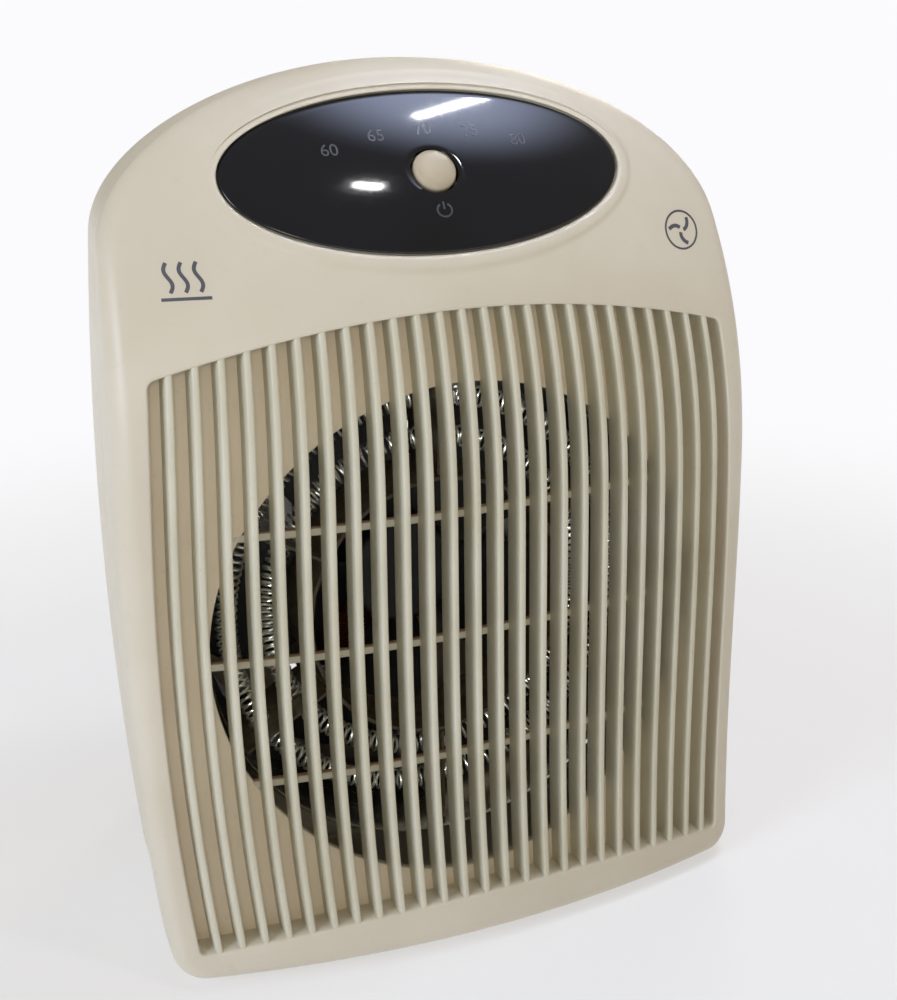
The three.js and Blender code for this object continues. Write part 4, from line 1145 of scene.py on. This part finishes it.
dialMeshes = []
for index, number in enumerate(dial["numbers"]):
    offset = index - (len(dial["numbers"]) - 1) / 2
    mesh = glyphMesh(number, dial["size"])
    placeOnLens(mesh, offset * dial["spacing"], dial["topZ"] - dial["drop"] * (offset / 2) ** 2)
    dialMeshes.append(mesh)
openRing = [(2.3 * math.sin(t), 2.3 * math.cos(t)) for t in np.linspace(0.55, 2 * math.pi - 0.55, 30)]
for mark in (strokeMesh(openRing, 0.6), strokeMesh([(0, 0.3), (0, 2.9)], 0.6)):  # the usual on-off sign
    placeOnLens(mark, 0, 238.2)
    dialMeshes.append(mark)
dialPiece = joinMeshes("dial_marks", dialMeshes)
finishPiece(dialPiece, dialInk, "case", "dark_lens")
print("lens, button and dial")


# Small marks on the face: plain rising-heat waves and a fan sign

def placeOnFace(mesh, x0, z0):
    for vertex in mesh.vertices:
        u, v, w = (value / metre for value in vertex.co)
        x = x0 + u
        slope = float(faceY(np.float64(x0), np.float64(z0 + 0.5)) - faceY(np.float64(x0), np.float64(z0 - 0.5)))
        z = z0 + v * math.cos(math.atan(slope))
        y = float(faceY(np.float64(x), np.float64(z)))
        lean = math.atan(slope)
        place = Vector((x, y, z)) + Vector((0, -math.cos(lean), math.sin(lean))) * (w + 0.03)
        vertex.co = place * metre


def waveStroke(x, height):
    return [(x + 0.9 * math.sin(2 * math.pi * t), (t - 0.5) * height) for t in np.linspace(0, 1, 24)]


faceMeshes = []
for x in (-4.2, 0, 4.2):
    mark = strokeMesh(waveStroke(x, 9.0), 1.1)
    placeOnFace(mark, -80.0, 224.5)
    faceMeshes.append(mark)
base = strokeMesh([(-7, -6.4), (7, -6.4)], 1.0)
placeOnFace(base, -80.0, 224.5)
faceMeshes.append(base)
for blade in range(3):
    turn = blade * 2 * math.pi / 3
    curl = []
    for t in np.linspace(0, 1, 14):
        reach = 0.9 + 4.1 * t
        curl.append((reach * math.cos(turn + 0.9 * t), reach * math.sin(turn + 0.9 * t)))
    mark = strokeMesh(curl, 1.3)
    placeOnFace(mark, 84.0, 225.5)
    faceMeshes.append(mark)
ringTurns = np.linspace(0, 2 * math.pi, 48, endpoint=False)
ringMark = strokeMesh([(6.4 * math.cos(t), 6.4 * math.sin(t)) for t in ringTurns], 0.7, True)
placeOnFace(ringMark, 84.0, 225.5)
faceMeshes.append(ringMark)
markPiece = joinMeshes("face_marks", faceMeshes)
finishPiece(markPiece, markInk, "case", "ivory_shell")

# Element: duct, coils of resistance wire

duct = {"radius": 80.0, "outer": 81.0, "front": -40.3, "rear": -4.3, "flange": 86.0, "steps": 180}
ductProfile = [
    (duct["radius"], duct["front"] + 0.5), (duct["radius"] + 0.5, duct["front"]), (duct["outer"], duct["front"] + 0.4),
    (duct["outer"], duct["rear"] - 1.4), (duct["outer"] + 0.6, duct["rear"] - 1.0), (duct["flange"], duct["rear"] - 1.0),
    (duct["flange"], duct["rear"]), (duct["radius"] + 0.4, duct["rear"]), (duct["radius"], duct["rear"] - 0.5),
    (duct["radius"], duct["front"] + 0.5),
]
ductPiece = makeMesh("element_duct_rolled", [loft(turned(ductProfile, duct["steps"], 0, grille["axisZ"]))])
sharpen(ductPiece, 40)
finishPiece(ductPiece, ductSteel, "case", "bright_duct", "element_duct")
brightMetal = [ductPiece]

coils = {
    "Ring radius": 70.0 * metre,
    "Coil radius": 3.3 * metre,
    "Wire radius": 0.5 * metre,
    "Turns": 170,
    "Depth": -22.3 * metre,
    "Axis height": grille["axisZ"] * metre,
}
coilSteps = 14  # steps in each turn of wire


def coilTree():
    tree, given, result = newTree("wire wound round a ring", coils)
    take = given.outputs

    known = {name: take[name] for name in coils if name in take}
    known["index"] = addNode(tree, "GeometryNodeInputIndex").outputs[0]
    sums = (
        # name of the result, operation, terms
        ("count", "MULTIPLY", "Turns", coilSteps),
        ("share", "DIVIDE", "index", "count"),
        ("angle", "MULTIPLY", "share", 2 * math.pi),
        ("phase", "MULTIPLY", "angle", "Turns"),
        ("out", "COSINE", "phase"),
        ("out by", "MULTIPLY", "out", "Coil radius"),
        ("radius", "ADD", "Ring radius", "out by"),
        ("turn x", "COSINE", "angle"),
        ("new x", "MULTIPLY", "radius", "turn x"),
        ("back", "SINE", "phase"),
        ("back by", "MULTIPLY", "back", "Coil radius"),
        ("new y", "ADD", "Depth", "back by"),
        ("turn z", "SINE", "angle"),
        ("risen", "MULTIPLY", "radius", "turn z"),
        ("new z", "ADD", "Axis height", "risen"),
    )
    for name, operation, *terms in sums:
        settings, links = {"operation": operation}, {}
        for key, term in enumerate(terms):
            if isinstance(term, str):
                links[key] = known[term]
            else:
                settings[key] = float(term)
        known[name] = addNode(tree, "ShaderNodeMath", settings, links).outputs[0]
    circle = addNode(tree, "GeometryNodeCurvePrimitiveCircle", {"Radius": 0.07}, {"Resolution": known["count"]})
    place = addNode(tree, "ShaderNodeCombineXYZ", {}, {0: known["new x"], 1: known["new y"], 2: known["new z"]})
    wound = addNode(tree, "GeometryNodeSetPosition", {}, {"Geometry": circle.outputs[0], "Position": place.outputs[0]})
    wire = addNode(tree, "GeometryNodeCurvePrimitiveCircle", {"Resolution": 6}, {"Radius": take["Wire radius"]})
    tube = addNode(tree, "GeometryNodeCurveToMesh", {}, {"Curve": wound.outputs[0], "Profile Curve": wire.outputs[0]})
    real = addNode(tree, "GeometryNodeRealizeInstances", {}, {0: tube.outputs[0]})
    coloured = addNode(tree, "GeometryNodeSetMaterial", {"Material": nichrome}, {"Geometry": real.outputs[0]})
    tree.links.new(coloured.outputs[0], result.inputs[0])
    return tree


coilNodes = coilTree()
for number, (ringRadius, turns) in enumerate(((70.0, 170), (56.0, 136)), 1):
    coilPiece = runTree(f"wound_coil_{number}", coilNodes, {**coils, "Ring radius": ringRadius * metre, "Turns": turns})
    form = bmesh.new()
    form.from_mesh(coilPiece.data)
    bmesh.ops.recalc_face_normals(form, faces=form.faces)
    form.to_mesh(coilPiece.data)
    form.free()
    for polygon in coilPiece.data.polygons:
        polygon.use_smooth = True
    finishPiece(coilPiece, nichrome, "case", "resistance_wire", f"heating_coil_{number}")
    brightMetal.append(coilPiece)
    print("coil", number, len(coilPiece.data.polygons))

# Fan: hub and twisted blades

fan = {
    "front": -1.0, "depth": 16.0, "hub": 20.0, "tip": 72.4, "blades": 5, "start": -0.42, "thickness": 1.6,
    "bore": 2.3, "collar": 7.0,
}


def fanParts():
    front, rearEdge = fan["front"], fan["front"] + fan["depth"]
    hub = fan["hub"]
    profile = [
        (fan["bore"], front + 2), (fan["bore"], rearEdge - 1), (fan["collar"], rearEdge - 1), (fan["collar"], front + 3),
    ]
    profile += [(hub - 2, front + 3), (hub - 2, rearEdge), (hub, rearEdge), (hub, front + 3)]
    for turn in np.linspace(0, math.pi / 2, 7)[1:]:
        profile.append((hub - 3 * (1 - math.cos(turn)), front + 3 * (1 - math.sin(turn))))
    profile += [(hub * 0.5, front + 0.05), (0.01, front), (0.01, front + 2), (fan["bore"], front + 2)]
    parts = [loft(turned(profile, 72, 0, grille["axisZ"]))]
    for blade in range(fan["blades"]):
        start = fan["start"] + blade * 2 * math.pi / fan["blades"]
        rings = []
        for u in np.linspace(0, 1, 18):
            radius = hub - 1 + (fan["tip"] - hub + 1) * u
            trim = 1 - 0.12 * max(0.0, (u - 0.85) / 0.15) ** 2  # the tip's corners are rounded off
            chord = np.linspace(-1, 1, 22) * trim
            ring = []
            for side, along in ((1, chord), (-1, chord[::-1])):
                for w in along:
                    angle = start + w * (0.5 - 0.06 * u) - 0.25 * u * u
                    lift = w * (fan["depth"] / 2 - 1.4) * (1 - 0.22 * u) + 1.5 * (1 - w * w)
                    edge = math.sqrt(max(0.02, 1 - (w / trim) ** 6))  # thins to a rounded edge
                    y = front + fan["depth"] / 2 + lift + side * edge * fan["thickness"] / 2
                    ring.append([radius * math.cos(angle), y, grille["axisZ"] + radius * math.sin(angle)])
            rings.append(np.array(ring))
        parts.append(loft(rings, True, True))
    return parts


fanPiece = makeMesh("fan_moulded", fanParts())
sharpen(fanPiece, 40)
finishPiece(fanPiece, blackPlastic, "fan", "fan_plastic", "fan_impeller")

# Feet, cord gland and tip plunger

foot = {"radius": 7.0, "height": 2.7, "round": 0.9, "places": [(-70, -46), (70, -46), (-70, 46), (70, 46)]}


def footParts():
    profile = [(0.01, 0.5), (2.2, 0.5), (2.6, 0.1), (3.0, 0.0)]
    for turn in np.linspace(-math.pi / 2, 0, 6):
        outward = foot["radius"] - foot["round"] + foot["round"] * math.cos(turn)
        profile.append((outward, foot["round"] + foot["round"] * math.sin(turn)))
    profile += [(foot["radius"], foot["height"] - 0.2), (foot["radius"] - 0.2, foot["height"]), (0.01, foot["height"])]
    parts = []
    for x, y in foot["places"]:
        rings = [ring[:, (0, 2, 1)] + [x, y, 0] for ring in turned(profile, 56)]
        parts.append(loft(rings))
    return parts


feetPiece = makeMesh("rubber_feet", footParts())
sharpen(feetPiece, 45)
finishPiece(feetPiece, footRubber, "case", "foot_rubber", "foot_1", "foot_2", "foot_3", "foot_4")

rearY = shell["rearY"]
glandProfile = [
    (3.6, rearY - 9), (8.0, rearY - 9), (8.0, rearY - 2.8), (6.0, rearY - 2.8), (6.0, rearY - 0.7), (5.8, rearY - 0.3),
    (5.3, rearY - 0.1), (4.5, rearY - 0.15), (3.9, rearY - 0.5), (3.6, rearY - 1.2), (3.6, rearY - 9),
]
glandPiece = makeMesh("cord_gland_round", [loft(turned(glandProfile, 64, glandX, glandZ))])
sharpen(glandPiece, 40)
finishPiece(glandPiece, blackPlastic, "case", "black_plastic", "cord_gland")

tipRound = 1.2
tipProfile = [(0.01, tipLow[2])]
for turn in np.linspace(0, math.pi / 2, 6):
    tipProfile.append((2.5 - tipRound * (1 - math.sin(turn)), tipLow[2] + tipRound * (1 - math.cos(turn))))
tipProfile += [(2.5, tipHigh[2] - 0.3), (2.2, tipHigh[2]), (0.01, tipHigh[2])]
tipRings = [ring[:, (0, 2, 1)] + [tipX, tipY, 0] for ring in turned(tipProfile, 40)]
tipPiece = makeMesh("tip_plunger_round", [loft(tipRings)])
sharpen(tipPiece, 40)
finishPiece(tipPiece, blackPlastic, "tip_plunger", "black_plastic", "tip_plunger")

# CAD nodes that stay, with their finish

kept = (
    (zincSteel, "case_screw shroud_screw strap_screw motor_screw board_screw motor_strap"),
    (zincSteel, "front_bridge rear_bridge motor_shaft"),
    (sinteredBronze, "front_bearing rear_bearing"),
    (laminatedSteel, "rotor stator_core"),
    (copperWinding, "stator_coil"),
    (blackPlastic, "switch_plunger tact_switch tip_switch fan_shroud"),
    (maskedBoard, "control_board power_board"),
    (relayBlue, "relay"),
    (ledEpoxy, "indicator_led"),
    (micaSheet, "element_core_ring mica_fin"),
    (steatite, "thermal_cutoff thermal_fuse"),
    (glassSleeve, "live_lead"),
)
finishOf = {family: material for material, families in kept for family in families.split()}
for name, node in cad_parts.items():
    family = name.rstrip("0123456789").rstrip("_")
    if family in finishOf:
        node.data.materials.clear()
        node.data.materials.append(finishOf[family])
        for polygon in node.data.polygons:
            polygon.material_index = 0
    elif not node.hide_render:
        print("no finish for", name)

# Floor, light and camera

floor = {"reach": 9000.0, "plain": 120.0, "lit": 620.0, "leastGlow": 0.45, "glow": 1.0}
paper = grainedFinish("matt white paper", {
    "colour": "#f4f5f8", "driftColour": "#f1f2f5", "speckColour": "#ebecef", "speckShare": 0.3,
    "roughness": 0.9, "roughnessSpread": 0.03, "driftSize": 300.0, "speckSize": 4.0,
    "grainSize": 1.5, "grainHeight": 0.02,
})


def lightFarPaper():  # past the plain part the paper is lit evenly from below, so that it has no horizon
    tree = paper.node_tree
    shader = next(node for node in tree.nodes if node.type == "BSDF_PRINCIPLED")
    output = next(node for node in tree.nodes if node.type == "OUTPUT_MATERIAL")
    place = addNode(tree, "ShaderNodeTexCoord").outputs["Object"]
    away = addNode(tree, "ShaderNodeVectorMath", {"operation": "LENGTH"}, {0: place})
    share = addNode(tree, "ShaderNodeMapRange", {
        "interpolation_type": "SMOOTHSTEP", "From Min": floor["plain"] * metre, "From Max": floor["lit"] * metre,
        "To Min": floor["leastGlow"],
    }, {"Value": away.outputs["Value"]})
    glow = addNode(tree, "ShaderNodeEmission", {"Color": toLinear("#fbfbfd"), "Strength": floor["glow"]})
    mixed = addNode(tree, "ShaderNodeMixShader", {}, {0: share.outputs[0], 1: shader.outputs[0], 2: glow.outputs[0]})
    tree.links.new(mixed.outputs[0], output.inputs[0])


lightFarPaper()
floorProfile = [(1.0, 0.0), (400.0, 0.0), (2000.0, 0.0), (floor["reach"], 0.0)]
floorRings = [ring[:, (0, 2, 1)] for ring in turned(floorProfile, 64)]
floorPiece = makeMesh("studio_floor", [loft(floorRings, True)])
floorPiece.data.materials.append(paper)

world = bpy.data.worlds.new("studio")
scene.world = world
world.use_nodes = True
sky = world.node_tree
ambient = sky.nodes["Background"]
ambient.inputs["Color"].default_value = toLinear("#f8e6c4")
ambient.inputs["Strength"].default_value = 0.3
plain = addNode(sky, "ShaderNodeBackground", {"Color": toLinear("#fbfbfd"), "Strength": 1.0})
seen = addNode(sky, "ShaderNodeLightPath").outputs["Is Camera Ray"]
blend = addNode(sky, "ShaderNodeMixShader", {}, {0: seen, 1: ambient.outputs[0], 2: plain.outputs[0]})
sky.links.new(blend.outputs[0], sky.nodes["World Output"].inputs[0])
scene.view_settings.view_transform = "Standard"

camera = {
    "target": (-10.054, -67.63, 155.377),
    "azimuth": -22.342,
    "elevation": 19.593,
    "roll": -0.7688,
    "distance": 452.995,
    "lens": 54.117,
}
azimuth, elevation = math.radians(camera["azimuth"]), math.radians(camera["elevation"])
level = math.cos(elevation)
back = Vector((math.sin(azimuth) * level, -math.cos(azimuth) * level, math.sin(elevation)))
eye = Vector(camera["target"]) + back * camera["distance"]
right = (-back).cross(Vector((0, 0, 1))).normalized()
up = right.cross(-back)
roll = math.radians(camera["roll"])
cameraX = right * math.cos(roll) + up * math.sin(roll)
cameraY = up * math.cos(roll) - right * math.sin(roll)
cameraData = bpy.data.cameras.new("main_view")
cameraData.sensor_width = 36
cameraData.lens = camera["lens"]
cameraData.clip_start = 0.01
cameraData.clip_end = 20
cameraObject = bpy.data.objects.new("main_view", cameraData)
turn = Matrix((cameraX, cameraY, back)).transposed()
cameraObject.matrix_world = Matrix.Translation(eye * metre) @ turn.to_4x4()
scene.collection.objects.link(cameraObject)
scene.camera = cameraObject


def areaLight(name, place, aim, size, power, code, roll=0.0, fade=False):
    data = bpy.data.lights.new(name, "AREA")
    data.shape = "RECTANGLE"
    data.size, data.size_y = size[0] * metre, size[1] * metre
    data.energy = power
    data.color = toLinear(code)[:3]
    if fade:  # a softbox that is brightest in its middle and dies away to its edges
        data.use_nodes = True
        tree = data.node_tree
        where = addNode(tree, "ShaderNodeNewGeometry").outputs["Parametric"]
        reachOut = addNode(tree, "ShaderNodeVectorMath", {"operation": "DISTANCE", 1: (0.5, 0.5, 0.0)}, {0: where})
        glow = addNode(tree, "ShaderNodeMapRange", {
            "interpolation_type": "SMOOTHERSTEP", "From Max": 0.5, "To Min": 1.0, "To Max": 0.0,
        }, {"Value": reachOut.outputs["Value"]})
        emission = next(node for node in tree.nodes if node.type == "EMISSION")
        tree.links.new(glow.outputs[0], emission.inputs["Strength"])
    light = bpy.data.objects.new(name, data)
    towards = (Vector(place) - Vector(aim)).normalized()
    across = (right - towards * right.dot(towards)).normalized()
    upward = towards.cross(across)
    spin = math.radians(roll)
    turnedX = across * math.cos(spin) + upward * math.sin(spin)
    facing = Matrix((turnedX, towards.cross(turnedX), towards)).transposed()
    light.matrix_world = Matrix.Translation(Vector(place) * metre) @ facing.to_4x4()
    scene.collection.objects.link(light)
    return light


def mirrored(x, z):  # where a ray from the camera goes after the lens turns it back
    step = 0.5
    slopeX = float(lensY(np.float64(x + step), np.float64(z)) - lensY(np.float64(x - step), np.float64(z)))
    slopeZ = float(lensY(np.float64(x), np.float64(z + step)) - lensY(np.float64(x), np.float64(z - step)))
    normal = Vector((slopeX, -1, slopeZ)).normalized()
    point = Vector((x, float(lensY(np.float64(x), np.float64(z))), z))
    ray = (point - eye).normalized()
    return point, ray - 2 * ray.dot(normal) * normal


areaLight("key_left", (-1080, -430, 520), (0, 0, 120), (900, 900), 34, "#e2ecff", 0, True)
areaLight("front_soft", (-260, -760, 440), (0, 0, 120), (300, 300), 3.2, "#fff8ee", 0, True)
areaLight("fill_right", (800, -900, 500), (0, 0, 120), (600, 600), 1.0, "#ffa850", 0, True)
areaLight("rear_soft", (700, 900, 700), (0, 0, 140), (800, 800), 11, "#fff4e4", 0, True)
top = areaLight("top_soft", (0, 0, 1300), (0, 0, 140), (1200, 1200), 4.5, "#f6f8ff", 0, True)
top.visible_glossy = False
lamp = areaLight("element_glint", (-330, -760, 330), (-10, 0, 115), (70, 70), 24, "#f2fff8")
lit = bpy.data.collections.new("bright_metal")
for piece in brightMetal:
    lit.objects.link(piece)
lamp.light_linking.receiver_collection = lit
glints = (
    # name, place on the lens, size, power, roll, whether its edges fade
    ("streak", (12.0, 266.0), (112, 13), 0.4, 60, False),
    ("spot", (-22.0, 246.0), (34, 15), 0.3, 0, False),
    ("haze", (8.0, 268.5), (520, 420), 5.0, 0, True),
)
for name, spot, size, power, spin, fade in glints:
    point, away = mirrored(*spot)
    areaLight("glint_" + name, point + away * 500, point, size, power, "#cfdcff" if fade else "#ffffff", spin, fade)
print("light and camera")
